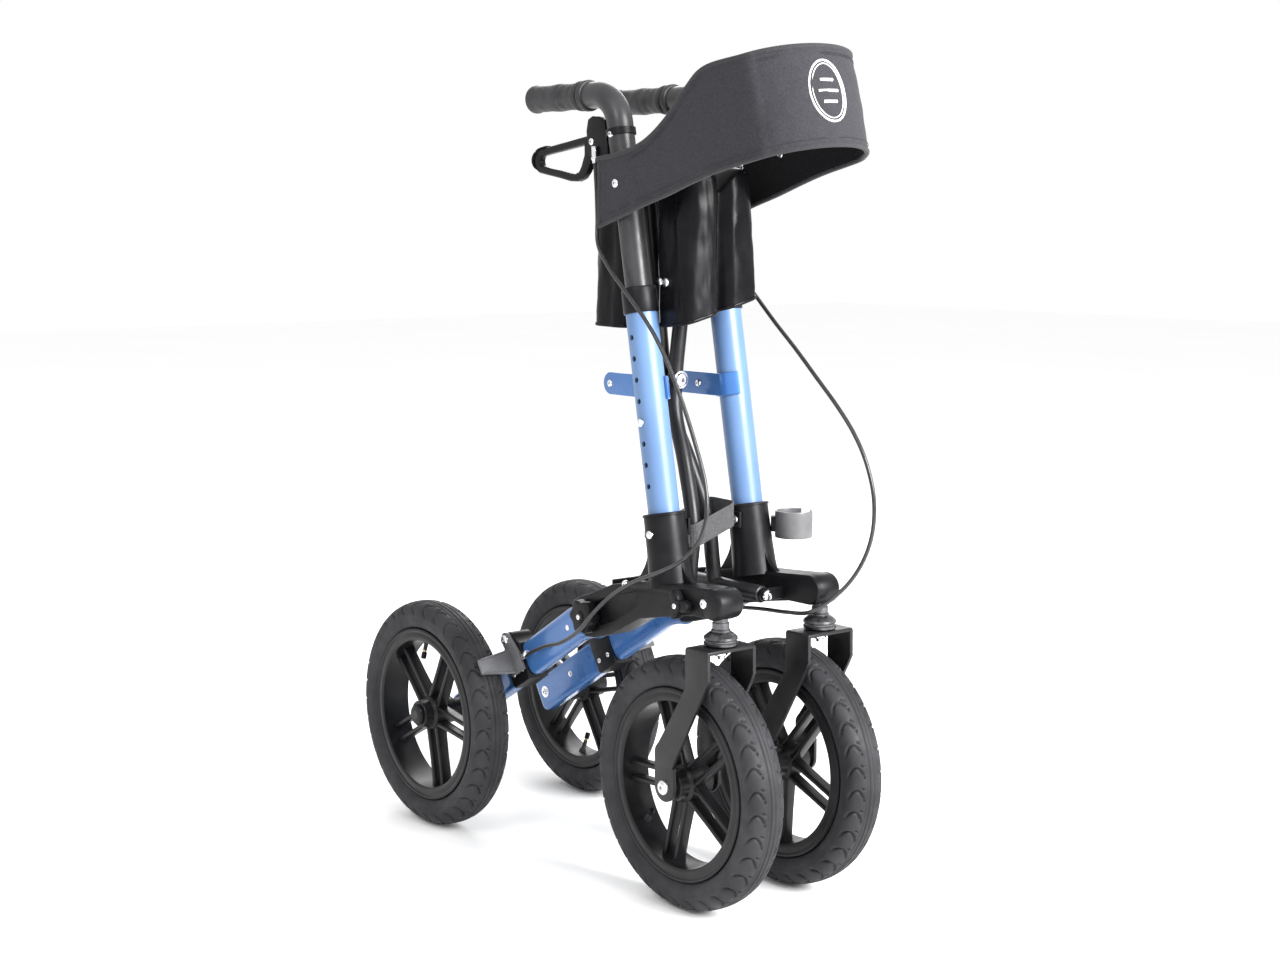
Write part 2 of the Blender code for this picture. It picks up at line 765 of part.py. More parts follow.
def handle_points(side):
    """Up the post's axis, round the bend and rearward to the grip."""
    turn = pi / 2 - LEAN
    corner_ahead = post_ahead(GRIP_Z)
    reach = HANDLE_BEND * tan(turn / 2)
    start = Vector((corner_ahead, GRIP_Z)) - reach * Vector((-sin(LEAN), cos(LEAN)))
    centre = start + HANDLE_BEND * Vector((-cos(LEAN), -sin(LEAN)))
    chain = [(post_ahead(HANDLE_BOTTOM_Z), HANDLE_BOTTOM_Z)]
    steps = 8
    for i in range(steps + 1):
        angle = LEAN + turn * i / steps
        chain.append(
            (centre.x + HANDLE_BEND * cos(angle), centre.y + HANDLE_BEND * sin(angle))
        )
    chain.append((GRIP_FRONT, GRIP_Z))
    return [place(ahead, side * POST_Y, z) for ahead, z in chain]


def make_handle(label, side):
    tube = tube_between(f"{label}_handle_tube", handle_points(side), HANDLE_RADIUS, 4)
    finish(as_mesh(tube), BLACK_PAINT)
    long = GRIP_FRONT - GRIP_REAR - GAP
    profile = [(0, long), (0.0158, long), (0.0170, long - 0.004), (0.0170, long - 0.010)]
    profile += [(0.0152, long - 0.013), (0.0160, long * 0.5), (0.0150, 0.022)]
    profile += [(0.0178, 0.008), (0.0165, 0.001), (0.010, 0), (0, 0)]
    grip = turned(f"{label}_grip", profile, 20, place(GRIP_REAR, side * POST_Y, GRIP_Z), (1, 0, 0))
    finish(grip, GRIP_RUBBER)


def lever_loops():
    """Outer and inner outlines of the looped brake lever, (ahead, z)."""
    outer = [(0.296, 0.916), (0.270, 0.912), (0.200, 0.903), (0.178, 0.900)]
    outer += arc((0.177, 0.8845), 0.0155, 90, 250, 8)
    outer += [(0.215, 0.863), (0.250, 0.858), (0.268, 0.866), (0.282, 0.889), (0.296, 0.897)]
    inner = [(0.266, 0.9015), (0.200, 0.8935), (0.179, 0.8908)]
    inner += arc((0.1785, 0.8845), 0.0062, 90, 250, 5)
    inner += [(0.216, 0.8725), (0.247, 0.8675), (0.259, 0.873)]
    return outer, inner


def make_lever(label, side):
    y = side * POST_Y
    outer, inner = lever_loops()
    lever = as_mesh(plate(f"{label}_brake_lever", outer, 0.011, y, holes=(inner,)))
    pivot = place(LEVER_PIVOT[0], y, LEVER_PIVOT[1])
    reach = Vector((0, 0.02, 0))
    cut(lever, rod(f"{label}_lever_hole", pivot - reach, pivot + reach, LEVER_HOLE_RADIUS, 14, True))
    finish(lever, BLACK_PLASTIC)
    bracket_outline = [(0.281, 0.893), (0.300, 0.874), (0.3225, 0.878), (0.3160, 0.921)]
    bracket_outline += [(0.291, 0.924), (0.281, 0.917)]
    bracket = as_mesh(plate(f"{label}_brake_bracket", bracket_outline, 0.022, y))
    slot_low = place(0.270, y - 0.0063, 0.860)
    slot_high = place(0.3005, y + 0.0063, 0.940)
    tube_cut = rod(
        f"{label}_bracket_seat",
        post_point(side, 0.860),
        post_point(side, 0.945),
        HANDLE_RADIUS + 0.0005,
        24,
        True,
    )
    hole = rod(f"{label}_bracket_hole", pivot - reach, pivot + reach, LEVER_HOLE_RADIUS, 14, True)
    cut(bracket, box(f"{label}_bracket_slot", slot_low, slot_high, True), tube_cut, hole)
    finish(bracket, BLACK_PLASTIC)
    end = Vector((0, 0.0135, 0))
    finish(rod(f"{label}_lever_pin", pivot - end, pivot + end, LEVER_PIN_RADIUS, 14), STEEL)


def make_height_pin(label, side):
    wall = POST_RADIUS + GAP
    profile = [(0, wall + 0.004), (0.0034, wall + 0.004), (0.0050, wall + 0.002)]
    profile += [(0.0050, wall), (0.0030, wall), (0.0030, POST_BORE + GAP), (0, POST_BORE + GAP)]
    pin = turned(f"{label}_height_pin", profile, 14, post_point(side, PIN_Z), (0, side, 0))
    finish(pin, STEEL)


# Cross brace ------------------------------------------------------------------------------


def brace_route(side, offset):
    """From the lower pivot on its own side, over the centre, to the rail on the other."""
    sweep = (
        (LOWER_AHEAD, LOWER_PIVOT_Z),
        (LOWER_AHEAD, 0.400),
        (0.404, 0.450),
        (0.378, 0.520),
        (0.352, 0.575),
        (CENTRE_AHEAD, CENTRE_PIVOT_Z),
        (CENTRE_AHEAD, 0.700),
        (CENTRE_AHEAD, RAIL_Z),
    )
    route = []
    for ahead, z in sweep:
        y = side * LOWER_PIVOT_Y * (CENTRE_PIVOT_Z - z) / (CENTRE_PIVOT_Z - LOWER_PIVOT_Z)
        route.append(place(ahead + offset, y, z))
    return route


def make_brace(label, side):
    offset = -side * BRACE_OFFSET
    route = smooth_chain(brace_route(side, offset), 2)
    brace = as_mesh(tube_between(f"{label}_brace", route, BRACE_RADIUS, 3))
    sleeve = rod(
        f"{label}_sleeve",
        place(SLEEVE_ENDS[0], side * LOWER_PIVOT_Y, LOWER_PIVOT_Z),
        place(SLEEVE_ENDS[1], side * LOWER_PIVOT_Y, LOWER_PIVOT_Z),
        SLEEVE_RADIUS,
        16,
        True,
    )
    rail_y = route[-1].y
    rail = rod(
        f"{label}_rail",
        place(RAIL_ENDS[0], rail_y, RAIL_Z),
        place(RAIL_ENDS[1], rail_y, RAIL_Z),
        RAIL_RADIUS,
        16,
        True,
    )
    unite(brace, sleeve, rail)
    reach = 0.06
    bolt_hole = rod(
        f"{label}_centre_hole",
        place(CENTRE_AHEAD - reach, 0, CENTRE_PIVOT_Z),
        place(CENTRE_AHEAD + reach, 0, CENTRE_PIVOT_Z),
        CENTRE_HOLE_RADIUS,
        14,
        True,
    )
    cut(brace, bolt_hole)
    finish(brace, BLACK_PAINT)


def make_centre_bolt():
    half = BRACE_OFFSET + BRACE_RADIUS + 0.0006
    head = half + 0.005
    profile = [(0, head), (0.0085, head), (0.0085, half), (CENTRE_BOLT_RADIUS, half)]
    profile += [(CENTRE_BOLT_RADIUS, -half), (0.0085, -half), (0.0085, -head), (0, -head)]
    bolt = turned("centre_bolt", profile, 14, place(CENTRE_AHEAD, 0, CENTRE_PIVOT_Z), (1, 0, 0))
    finish(bolt, STEEL)


# Soft parts, cables and holder ------------------------------------------------------------


def strap_stations():
    """Lower and upper edge points of the strap, from the right handle round the front.

    The front leans back, so that the upper edge is shorter than the lower one.
    """
    front_centre = STRAP_FRONT - STRAP_THICK / 2 - STRAP_BEND
    half = [
        (0.315, 0.315, 0.0865, 0.802, 0.884),
        (0.362, 0.362, 0.0865, 0.816, 0.890),
        (0.405, 0.405, 0.0860, 0.829, 0.902),
        (0.445, 0.443, 0.0850, 0.840, 0.926),
        (0.490, 0.478, 0.0840, 0.854, 0.960),
        (0.530, 0.508, 0.0825, 0.865, 0.981),
    ]
    for i in range(1, 7):
        angle = radians(90 * i / 6)
        low_ahead = front_centre + STRAP_BEND * sin(angle)
        high_ahead = low_ahead - STRAP_TILT * (0.6 + 0.4 * sin(angle))
        low, high = 0.872 + 0.020 * sin(angle), 0.985 + 0.018 * sin(angle)
        half.append((low_ahead, high_ahead, STRAP_BEND * cos(angle), low, high))
    right = [((a, -y, low), (b, -y, high)) for a, b, y, low, high in half]
    left = [((a, y, low), (b, y, high)) for a, b, y, low, high in reversed(half[:-1])]
    return right + left


def make_strap():
    mesh = bpy.data.meshes.new("backrest_strap")
    work = bmesh.new()
    rows = []
    for low, high in strap_stations():
        rows.append((work.verts.new(place(*low)), work.verts.new(place(*high))))
    for (a, b), (c, d) in zip(rows, rows[1:]):
        work.faces.new((a, c, d, b))
    work.to_mesh(mesh)
    work.free()
    strap = add("backrest_strap", mesh)
    shell = strap.modifiers.new("thickness", "SOLIDIFY")
    shell.thickness = STRAP_THICK
    shell.offset = 0.0
    finish(strap, CLOTH)


def make_seat():
    """Two lobes of the folded seat, in front of and behind the brace tubes."""
    for name, (low, high) in (("seat_front", SEAT_FRONT), ("seat_rear", SEAT_REAR)):
        near = place(low[0], -SEAT_HALF_Y, low[1])
        far = place(high[0], SEAT_HALF_Y, high[1])
        finish(box(name, near, far, soften=0.006), VINYL)


RIGHT_CABLE = (
    (0.301, -0.0810, 0.885),
    (0.304, -0.0810, 0.850),
    (0.307, -0.0820, 0.815),
    (0.316, -0.0880, 0.783),
    (0.345, -0.0960, 0.758),
    (0.385, -0.1000, 0.728),
    (0.424, -0.098, 0.692),
    (0.451, -0.094, 0.655),
    (0.477, -0.090, 0.605),
    (0.499, -0.089, 0.560),
    (0.519, -0.090, 0.515),
    (0.527, -0.094, 0.480),
    (0.522, -0.100, 0.450),
    (0.500, -0.106, 0.425),
    (0.460, -0.1085, 0.405),
    (0.415, -0.1085, 0.388),
    (0.375, -0.110, 0.367),
    (0.342, -0.115, 0.340),
    (0.312, -0.117, 0.312),
    (0.262, -0.106, 0.288),
    (0.215, -0.097, 0.274),
    (0.180, -0.0925, 0.260),
    (0.1545, -0.0898, 0.2480),
)
LEFT_CABLE = (
    (0.301, 0.0810, 0.885),
    (0.304, 0.0810, 0.850),
    (0.307, 0.0820, 0.815),
    (0.316, 0.0880, 0.785),
    (0.345, 0.0960, 0.757),
    (0.381, 0.1000, 0.726),
    (0.423, 0.1015, 0.688),
    (0.461, 0.102, 0.6565),
    (0.497, 0.103, 0.624),
    (0.531, 0.105, 0.592),
    (0.5575, 0.107, 0.562),
    (0.577, 0.1085, 0.530),
    (0.589, 0.110, 0.492),
    (0.590, 0.110, 0.454),
    (0.582, 0.107, 0.4200),
    (0.572, 0.094, 0.390),
    (0.560, 0.074, 0.367),
    (0.545, 0.0510, 0.351),
    (0.510, 0.0480, 0.346),
    (0.465, 0.0480, 0.343),
    (0.415, 0.0480, 0.338),
    (0.360, 0.0480, 0.332),
    (0.300, 0.0495, 0.322),
    (0.262, 0.0500, 0.318),
    (0.238, 0.0560, 0.329),
    (0.216, 0.0700, 0.331),
    (0.197, 0.0840, 0.314),
    (0.180, 0.0905, 0.288),
    (0.166, 0.0915, 0.264),
    (0.1545, 0.0898, 0.2480),
)


def make_cables():
    for name, route in (("right_brake_cable", RIGHT_CABLE), ("left_brake_cable", LEFT_CABLE)):
        chain = smooth_chain([place(*point) for point in route], 2)
        finish(as_mesh(tube_between(name, chain, CABLE_RADIUS, 2)), BLACK_PLASTIC)


def make_cane_holder():
    """Open ring with an arm, held on the left post's socket."""
    centre = place(0.4576, POST_Y + 0.039, 0.4416)
    outer, inner, half = 0.0230, 0.0205, 0.017
    rise = Vector((0, 0, half))
    holder = rod("cane_holder", centre - rise, centre + rise, outer, 28)
    post = post_point(1, 0.4416)
    outward = (centre - post).normalized()
    across = Vector((-outward.y, outward.x, 0)) * 0.007
    lift = Vector((0, 0, 0.010))
    ends = (post + outward * 0.020, centre - outward * 0.015)
    corners = [end + a * across + b * lift for end in ends for a in (-1, 1) for b in (-1, 1)]
    unite(holder, hull("holder_arm", corners, True))
    mouth_low = centre + Vector((-0.008, 0.010, -0.03))
    mouth_high = centre + Vector((0.008, 0.030, 0.03))
    cut(
        holder,
        rod("holder_inside", centre - 2 * rise, centre + 2 * rise, inner, 28, True),
        box("holder_mouth", mouth_low, mouth_high, True),
    )
    socket_clear = turned(
        "holder_clear",
        [(0, 0.1), (SOCKET_RADIUS + 0.0012, 0.1), (SOCKET_RADIUS + 0.0030, -0.1), (0, -0.1)],
        24,
        post_point(1, 0.437),
        post_axis(),
        True,
    )
    cut(holder, socket_clear)
    finish(holder, BLACK_PLASTIC)


def make_fold_strap():
    """Webbing band buckled round both brace tubes to keep the frame shut."""
    z, half_height, thick = 0.447, 0.014, 0.002
    centre = place(0.4035, 0, z)
    reach_x, reach_y = 0.0285, 0.0350
    mesh = bpy.data.meshes.new("fold_strap")
    work = bmesh.new()
    corner, steps = 0.012, 4
    outline = []
    for cx, cy, start in ((1, 1, 0), (-1, 1, 90), (-1, -1, 180), (1, -1, 270)):
        for i in range(steps + 1):
            angle = radians(start + 90 * i / steps)
            outline.append(
                (
                    cx * (reach_x - corner) + corner * cos(angle),
                    cy * (reach_y - corner) + corner * sin(angle),
                )
            )
    tilt = 0.35
    rows = []
    for x, y in outline:
        base = centre + Vector((x, y, tilt * y))
        low = work.verts.new(base - Vector((0, 0, half_height)))
        high = work.verts.new(base + Vector((0, 0, half_height)))
        rows.append((low, high))
    for (a, b), (c, d) in zip(rows, rows[1:] + rows[:1]):
        work.faces.new((a, c, d, b))
    work.to_mesh(mesh)
    work.free()
    strap = add("fold_strap", mesh)
    shell = strap.modifiers.new("thickness", "SOLIDIFY")
    shell.thickness = thick
    shell.offset = 0.0
    finish(strap, CLOTH)


def main():
    global PARTS, CUTTERS
    clear_scene()
    PARTS = new_collection("all_terrain_rollator")
    CUTTERS = new_collection("cutters")
    make_wheels(rim_mesh())
    for label, side in SIDES:
        make_fork(label, side)
        make_caster_stem(label, side)
        make_front_axle(label, side)
        make_casting(label, side)
        make_knobs(label, side)
        make_legs(label, side)
        make_rear_axle(label, side)
        make_brake(label, side)
        make_post(label, side)
        make_post_bracket(label, side)
        make_handle(label, side)
        make_lever(label, side)
        make_height_pin(label, side)
        make_brace(label, side)
    make_centre_bolt()
    make_strap()
    make_seat()
    make_cables()
    make_cane_holder()
    make_fold_strap()


main()
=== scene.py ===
from math import cos, degrees, pi, radians, sin, tan

import bmesh
import bpy
import numpy as np
from mathutils import Matrix, Vector, noise


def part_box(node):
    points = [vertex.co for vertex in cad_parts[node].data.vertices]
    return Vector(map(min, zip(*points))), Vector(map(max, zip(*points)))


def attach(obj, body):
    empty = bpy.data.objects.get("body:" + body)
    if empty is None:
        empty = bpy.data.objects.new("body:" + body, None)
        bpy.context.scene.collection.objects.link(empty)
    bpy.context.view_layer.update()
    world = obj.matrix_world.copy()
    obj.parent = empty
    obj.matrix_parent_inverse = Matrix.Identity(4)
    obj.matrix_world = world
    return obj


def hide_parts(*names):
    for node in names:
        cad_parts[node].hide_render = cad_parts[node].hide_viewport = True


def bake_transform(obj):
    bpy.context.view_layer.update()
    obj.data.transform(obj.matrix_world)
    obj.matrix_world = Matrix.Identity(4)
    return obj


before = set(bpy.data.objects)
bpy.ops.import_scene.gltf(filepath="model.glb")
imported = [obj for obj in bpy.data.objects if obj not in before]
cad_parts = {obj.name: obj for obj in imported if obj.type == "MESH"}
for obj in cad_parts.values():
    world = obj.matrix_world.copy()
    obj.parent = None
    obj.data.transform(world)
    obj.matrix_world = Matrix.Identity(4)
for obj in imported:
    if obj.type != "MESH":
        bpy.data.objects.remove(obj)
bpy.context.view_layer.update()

# Places and sizes shared by several pieces, in metres.


def middle(node):
    low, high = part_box(node)
    return (low + high) / 2


REAR_X = middle("right_rear_tyre").x
AXLE_Z = middle("right_rear_tyre").z
REAR_Y = -middle("right_rear_tyre").y
FRONT_Y = -middle("right_front_tyre").y
WHEELBASE = middle("right_front_tyre").x - REAR_X
LEAN = radians(10.4)
POST_Y = 0.066
POST_RADIUS = 0.0192
HANDLE_RADIUS = 0.016
GRIP_Z = 0.961
LEG_Y = 0.07
LEG_HALF = 0.023
LEG_THICK = 0.026
LEG_SLOPE = radians(31.5)
STEM_AHEAD = 0.534
NOSE_Z = 0.375
CROWN_Z = 0.326
CASTING_Y = 0.075
CASTING_HALF = 0.017
CASTING_FACE = CASTING_Y + CASTING_HALF
SIDES = (("right", -1), ("left", 1))
BOTH = (-1, 1)
POST_AXIS = Vector((-sin(LEAN), 0, cos(LEAN)))
FORWARD = (1, 0, 0)
UP = (0, 0, 1)


def at(ahead, y, z):
    """A point given forward of the rear axle."""
    return Vector((REAR_X + ahead, y, z))


def aside(point, y):
    return point + Vector((0, y, 0))


def post_ahead(z):
    return 0.424 - (z - 0.42) * tan(LEAN)


def post_point(side, z):
    return at(post_ahead(z), side * POST_Y, z)


def leg_point(distance, across=0.0):
    """(ahead, z) of a place on the rear leg, from the axle up the slope and square to it."""
    return (
        distance * cos(LEG_SLOPE) - across * sin(LEG_SLOPE),
        AXLE_Z + distance * sin(LEG_SLOPE) + across * cos(LEG_SLOPE),
    )


# Materials.


class Look:
    """A procedural material on object coordinates, in metres."""

    def __init__(
        self, name, tones, roughness, metallic, scale, gloss=None, grain=(), weave=None, detail=4.0, **sockets
    ):
        colour, low, high = tones
        self.material = bpy.data.materials.new(name)
        self.material.use_nodes = True
        self.tree = self.material.node_tree
        self.shader = self.tree.nodes["Principled BSDF"].inputs
        self.shader["Base Color"].default_value = (*colour, 1.0)
        self.shader["Roughness"].default_value = roughness
        self.shader["Metallic"].default_value = metallic
        for socket, value in sockets.items():
            self.shader[socket.replace("_", " ")].default_value = value
        self.place = self.tree.nodes.new("ShaderNodeTexCoord").outputs["Object"]
        self.normal = None
        self.mottle(scale, low, high, detail)
        if gloss:
            self.gloss(*gloss)
        if weave:
            self.weave(*weave)
        for scale, detail, strength, distance, *stretch in grain:
            self.bump(self.noise(scale, detail, *stretch), strength, distance)

    def node(self, kind, **values):
        made = self.tree.nodes.new(kind)
        for key, value in values.items():
            key = key.replace("__", " ")
            if key in made.inputs.keys():
                made.inputs[key].default_value = value
            else:
                setattr(made, key, value)
        return made

    def link(self, source, target):
        self.tree.links.new(source, target)

    def noise(self, scale, detail=3.0, stretch=None):
        made = self.node("ShaderNodeTexNoise", Scale=scale, Detail=detail)
        source = self.place
        if stretch:
            mapping = self.node("ShaderNodeMapping", Scale=stretch)
            self.link(source, mapping.inputs["Vector"])
            source = mapping.outputs["Vector"]
        self.link(source, made.inputs["Vector"])
        return made.outputs["Fac"]

    def mottle(self, scale, low, high, detail):
        """Colour that varies softly between two close tones."""
        made = self.node("ShaderNodeValToRGB")
        for element, place, tone in zip(made.color_ramp.elements, (0.35, 0.65), (low, high)):
            element.position = place
            element.color = (*tone, 1.0)
        self.link(self.noise(scale, detail), made.inputs["Fac"])
        self.link(made.outputs["Color"], self.shader["Base Color"])

    def gloss(self, scale, low, high):
        """Roughness that varies over the surface, as handling leaves it."""
        made = self.node("ShaderNodeMapRange", From__Min=0.3, From__Max=0.7, To__Min=low, To__Max=high)
        self.link(self.noise(scale, 4.0), made.inputs["Value"])
        self.link(made.outputs["Result"], self.shader["Roughness"])

    def bump(self, source, strength, distance):
        made = self.node("ShaderNodeBump", Strength=strength, Distance=distance)
        self.link(source, made.inputs["Height"])
        if self.normal:
            self.link(self.normal, made.inputs["Normal"])
        self.normal = made.outputs["Normal"]
        self.link(self.normal, self.shader["Normal"])

    def weave(self, pitch, strength, distance):
        """Two crossed sets of threads, a pitch apart."""
        both = self.node("ShaderNodeMath", operation="MULTIPLY")
        for i, axis in enumerate("XZ"):
            wave = self.node(
                "ShaderNodeTexWave", wave_type="BANDS", bands_direction=axis,
                Scale=pi / (10 * pitch), Distortion=0.6, Detail=1.0,
            )
            self.link(self.place, wave.inputs["Vector"])
            self.link(wave.outputs["Fac"], both.inputs[i])
        self.bump(both.outputs["Value"], strength, distance)


def greys(base, low, high, blue=0.001):
    """A grey and the two tones that it varies between, all a little bluer than neutral."""
    return [(tone, tone, tone + blue) for tone in (base, low, high)]


def make_looks():
    deep_blue = ((0.04, 0.14, 0.38), (0.032, 0.118, 0.335), (0.045, 0.152, 0.4))
    # The blue paint made paler and greyer. The extra lightness is a painted reflection for the posts.
    pale_blue_painted_reflection = ((0.088, 0.168, 0.33), (0.079, 0.152, 0.3), (0.097, 0.183, 0.35))
    black = ((0.022, 0.021, 0.024), (0.014, 0.014, 0.016), (0.027, 0.026, 0.029))
    gold = ((0.55, 0.42, 0.2), (0.48, 0.36, 0.16), (0.62, 0.48, 0.24))
    slate = ((0.028, 0.028, 0.033), (0.024, 0.024, 0.028), (0.033, 0.033, 0.038))
    edge = ((0.028, 0.028, 0.031), (0.022, 0.022, 0.025), (0.036, 0.036, 0.04))
    pewter = ((0.1, 0.1, 0.105), (0.086, 0.086, 0.09), (0.116, 0.116, 0.121))
    fine = ((900.0, 2.0, 0.06, 0.0002),)
    wrinkles = ((14.0, 3.0, 0.35, 0.003, (1.0, 1.0, 0.35)), (1100.0, 2.0, 0.1, 0.0002))
    twist = ((1800.0, 2.0, 0.6, 0.0004, (1.0, 1.0, 4.0)),)
    cloth = (0.0011, 0.2, 0.0002)
    looks = {
        "blue": Look(
            "blue_paint", deep_blue, 0.3, 0.3, 9.0, (30.0, 0.24, 0.36), fine,
            Coat_Weight=0.6, Coat_Roughness=0.1,
        ),
        # post: the same blue paint as the legs, made paler. The extra lightness is painted reflection,
        # standing in for the broad white highlight over the posts.
        "post": Look(
            "post_paint_painted_reflection", pale_blue_painted_reflection, 0.45, 0.0, 9.0, (30.0, 0.38, 0.5), fine,
            Coat_Weight=0.25, Coat_Roughness=0.3,
        ),
        "paint": Look(
            "black_paint", greys(0.008, 0.006, 0.011), 0.34, 0.0, 40.0, (55.0, 0.28, 0.42),
            ((1300.0, 2.0, 0.12, 0.0002),), Specular_IOR_Level=0.3,
        ),
        # The black paint made lighter for the handle tube. The extra lightness is a painted highlight, not a
        # different finish.
        "satin": Look(
            "black_paint_painted_highlight", greys(0.026, 0.021, 0.031, 0.002), 0.36, 0.0, 40.0, (55.0, 0.3, 0.42),
            ((1300.0, 2.0, 0.1, 0.0002),), Specular_IOR_Level=0.4,
        ),
        "plastic": Look(
            "black_plastic", greys(0.006, 0.004, 0.008), 0.42, 0.0, 35.0, (45.0, 0.3, 0.44),
            ((1600.0, 3.0, 0.22, 0.0002),), Specular_IOR_Level=0.16,
        ),
        "rim": Look(
            "rim_plastic", greys(0.008, 0.006, 0.011), 0.36, 0.0, 30.0, (40.0, 0.28, 0.42),
            ((1100.0, 2.0, 0.12, 0.0002),), Specular_IOR_Level=0.22,
        ),
        "tyre": Look(
            "tyre_rubber", black, 0.62, 0.0, 22.0, (60.0, 0.5, 0.72), ((700.0, 4.0, 0.25, 0.0004),),
            detail=8.0, Specular_IOR_Level=0.25,
        ),
        "rubber": Look(
            "grip_rubber", greys(0.024, 0.019, 0.034, 0.002), 0.6, 0.0, 60.0, (80.0, 0.48, 0.68),
            ((1500.0, 3.0, 0.35, 0.0003),), Specular_IOR_Level=0.35,
        ),
        "steel": Look(
            "bolt_steel", greys(0.8, 0.7, 0.88, 0.02), 0.22, 1.0, 300.0, (400.0, 0.14, 0.3),
            ((2500.0, 2.0, 0.05, 0.0001),),
        ),
        "cup": Look("bearing_metal", greys(0.09, 0.065, 0.13, 0.005), 0.3, 0.9, 120.0, (150.0, 0.26, 0.42)),
        "brass": Look("valve_brass", gold, 0.3, 1.0, 400.0),
        "cable": Look(
            "cable_sheath", greys(0.012, 0.01, 0.02), 0.28, 0.0, 200.0, grain=((900.0, 1.0, 0.05, 0.0001),)
        ),
        "fabric": Look(
            "strap_fabric", slate, 0.85, 0.0, 420.0, None, ((35.0, 4.0, 0.12, 0.002),), cloth, 6.0,
            Sheen_Weight=0.06, Specular_IOR_Level=0.15,
        ),
        "inside": Look(
            "strap_inside", greys(0.007, 0.005, 0.009), 0.85, 0.0, 420.0, None, (), cloth, 6.0,
            Specular_IOR_Level=0.1,
        ),
        "binding": Look(
            "edge_binding", edge, 0.8, 0.0, 600.0, weave=(0.0008, 0.5, 0.0003),
            Sheen_Weight=0.08, Specular_IOR_Level=0.2,
        ),
        "webbing": Look(
            "strap_webbing", greys(0.045, 0.034, 0.058, 0.003), 0.8, 0.0, 500.0,
            weave=(0.0016, 0.8, 0.0005), Sheen_Weight=0.1,
        ),
        "vinyl": Look(
            "seat_vinyl", greys(0.004, 0.003, 0.006), 0.26, 0.0, 25.0, (18.0, 0.2, 0.34), wrinkles,
            Specular_IOR_Level=0.12,
        ),
        "lining": Look(
            "seat_lining", greys(0.3, 0.24, 0.36, 0.01), 0.8, 0.0, 300.0, weave=(0.0012, 0.5, 0.0003)
        ),
        "grey": Look(
            "grey_paint", pewter, 0.42, 0.0, 40.0, (50.0, 0.36, 0.52), ((1600.0, 3.0, 0.2, 0.0002),)
        ),
        "thread": Look("pale_thread", greys(0.62, 0.5, 0.74, 0.01), 0.7, 0.0, 900.0, grain=twist),
        "floor": Look("floor_paint", greys(0.97, 0.965, 0.975, 0.0), 0.8, 0.0, 1.5),
    }
    return {name: look.material for name, look in looks.items()}


# Mesh tools.


def add(mesh, look=None, name="part"):
    item = bpy.data.objects.new(name, mesh)
    bpy.context.scene.collection.objects.link(item)
    if look:
        mesh.materials.append(LOOKS[look])
    return item


def shade(item, angle=35):
    item.data.shade_smooth()
    item.data.set_sharp_from_angle(angle=radians(angle))
    return item


def drawn(work, mesh=None):
    """The mesh of a finished bmesh."""
    mesh = mesh or bpy.data.meshes.new("part")
    work.to_mesh(mesh)
    work.free()
    return mesh


def outward(mesh, weld=0.0):
    """Turns a mesh's faces outward, after welding points that lie together."""
    work = bmesh.new()
    work.from_mesh(mesh)
    if weld:
        bmesh.ops.remove_doubles(work, verts=work.verts, dist=weld)
    bmesh.ops.recalc_face_normals(work, faces=work.faces)
    return drawn(work, mesh)


def piece(verts, faces, look, angle=35):
    mesh = bpy.data.meshes.new("part")
    mesh.from_pydata([tuple(v) for v in verts], [], faces)
    mesh.validate()
    return shade(add(outward(mesh), look), angle)


def quads(rings, n, closed=False):
    """Faces between rings of n points each."""
    faces = []
    for i in range(rings if closed else rings - 1):
        j = (i + 1) % rings
        for k in range(n):
            m = (k + 1) % n
            faces.append((i * n + k, i * n + m, j * n + m, j * n + k))
    return faces


def ends(rings, n):
    return [tuple(range(n)), tuple(range((rings - 1) * n, rings * n))]


def along(direction):
    """A turn that carries up to a direction. A plain number is a direction to the left or the right."""
    z = Vector((0, direction, 0) if isinstance(direction, int) else direction).normalized()
    side = Vector((0, 1, 0)) if abs(z.y) < 0.9 else Vector(UP)
    x = side.cross(z).normalized()
    return Matrix((x, z.cross(x), z)).transposed()


def hexed(radius, angle, share):
    """Radius of a circle drawn in towards a hexagon."""
    inner = cos(pi / 6) / cos((angle % (pi / 3)) - pi / 6)
    return radius * (1 - share + share * inner)


def revolve(profile, centre, direction, look, steps=48, ring=False, angle=35):
    """Solid of revolution. A profile point is (radius, height) or (radius, height, hexagon share)."""
    turn, centre = along(direction), Vector(centre)
    points = [(*p, 0.0)[:3] for p in profile]
    verts, index = [], {}
    for k, (radius, height, share) in enumerate(points):
        if radius == 0:
            index[k, 0] = len(verts)
            verts.append(centre + turn @ Vector((0, 0, height)))
            continue
        for i in range(steps):
            a = 2 * pi * i / steps
            r = hexed(radius, a, share)
            index[k, i] = len(verts)
            verts.append(centre + turn @ Vector((r * cos(a), r * sin(a), height)))
    faces = []
    pairs = list(zip(range(len(points)), range(1, len(points))))
    if ring:
        pairs.append((len(points) - 1, 0))
    for k, n in pairs:
        for i in range(steps):
            j = (i + 1) % steps
            if points[k][0] == 0:
                faces.append((index[k, 0], index[n, i], index[n, j]))
            elif points[n][0] == 0:
                faces.append((index[k, i], index[n, 0], index[k, j]))
            else:
                faces.append((index[k, i], index[n, i], index[n, j], index[k, j]))
    return piece(verts, faces, look, angle)


def rod(radius, start, end, centre, direction, look, steps=24):
    return revolve([(0, start), (radius, start), (radius, end), (0, end)], centre, direction, look, steps)


def mirrored(half):
    return half + [(r, -h) for r, h in reversed(half)]


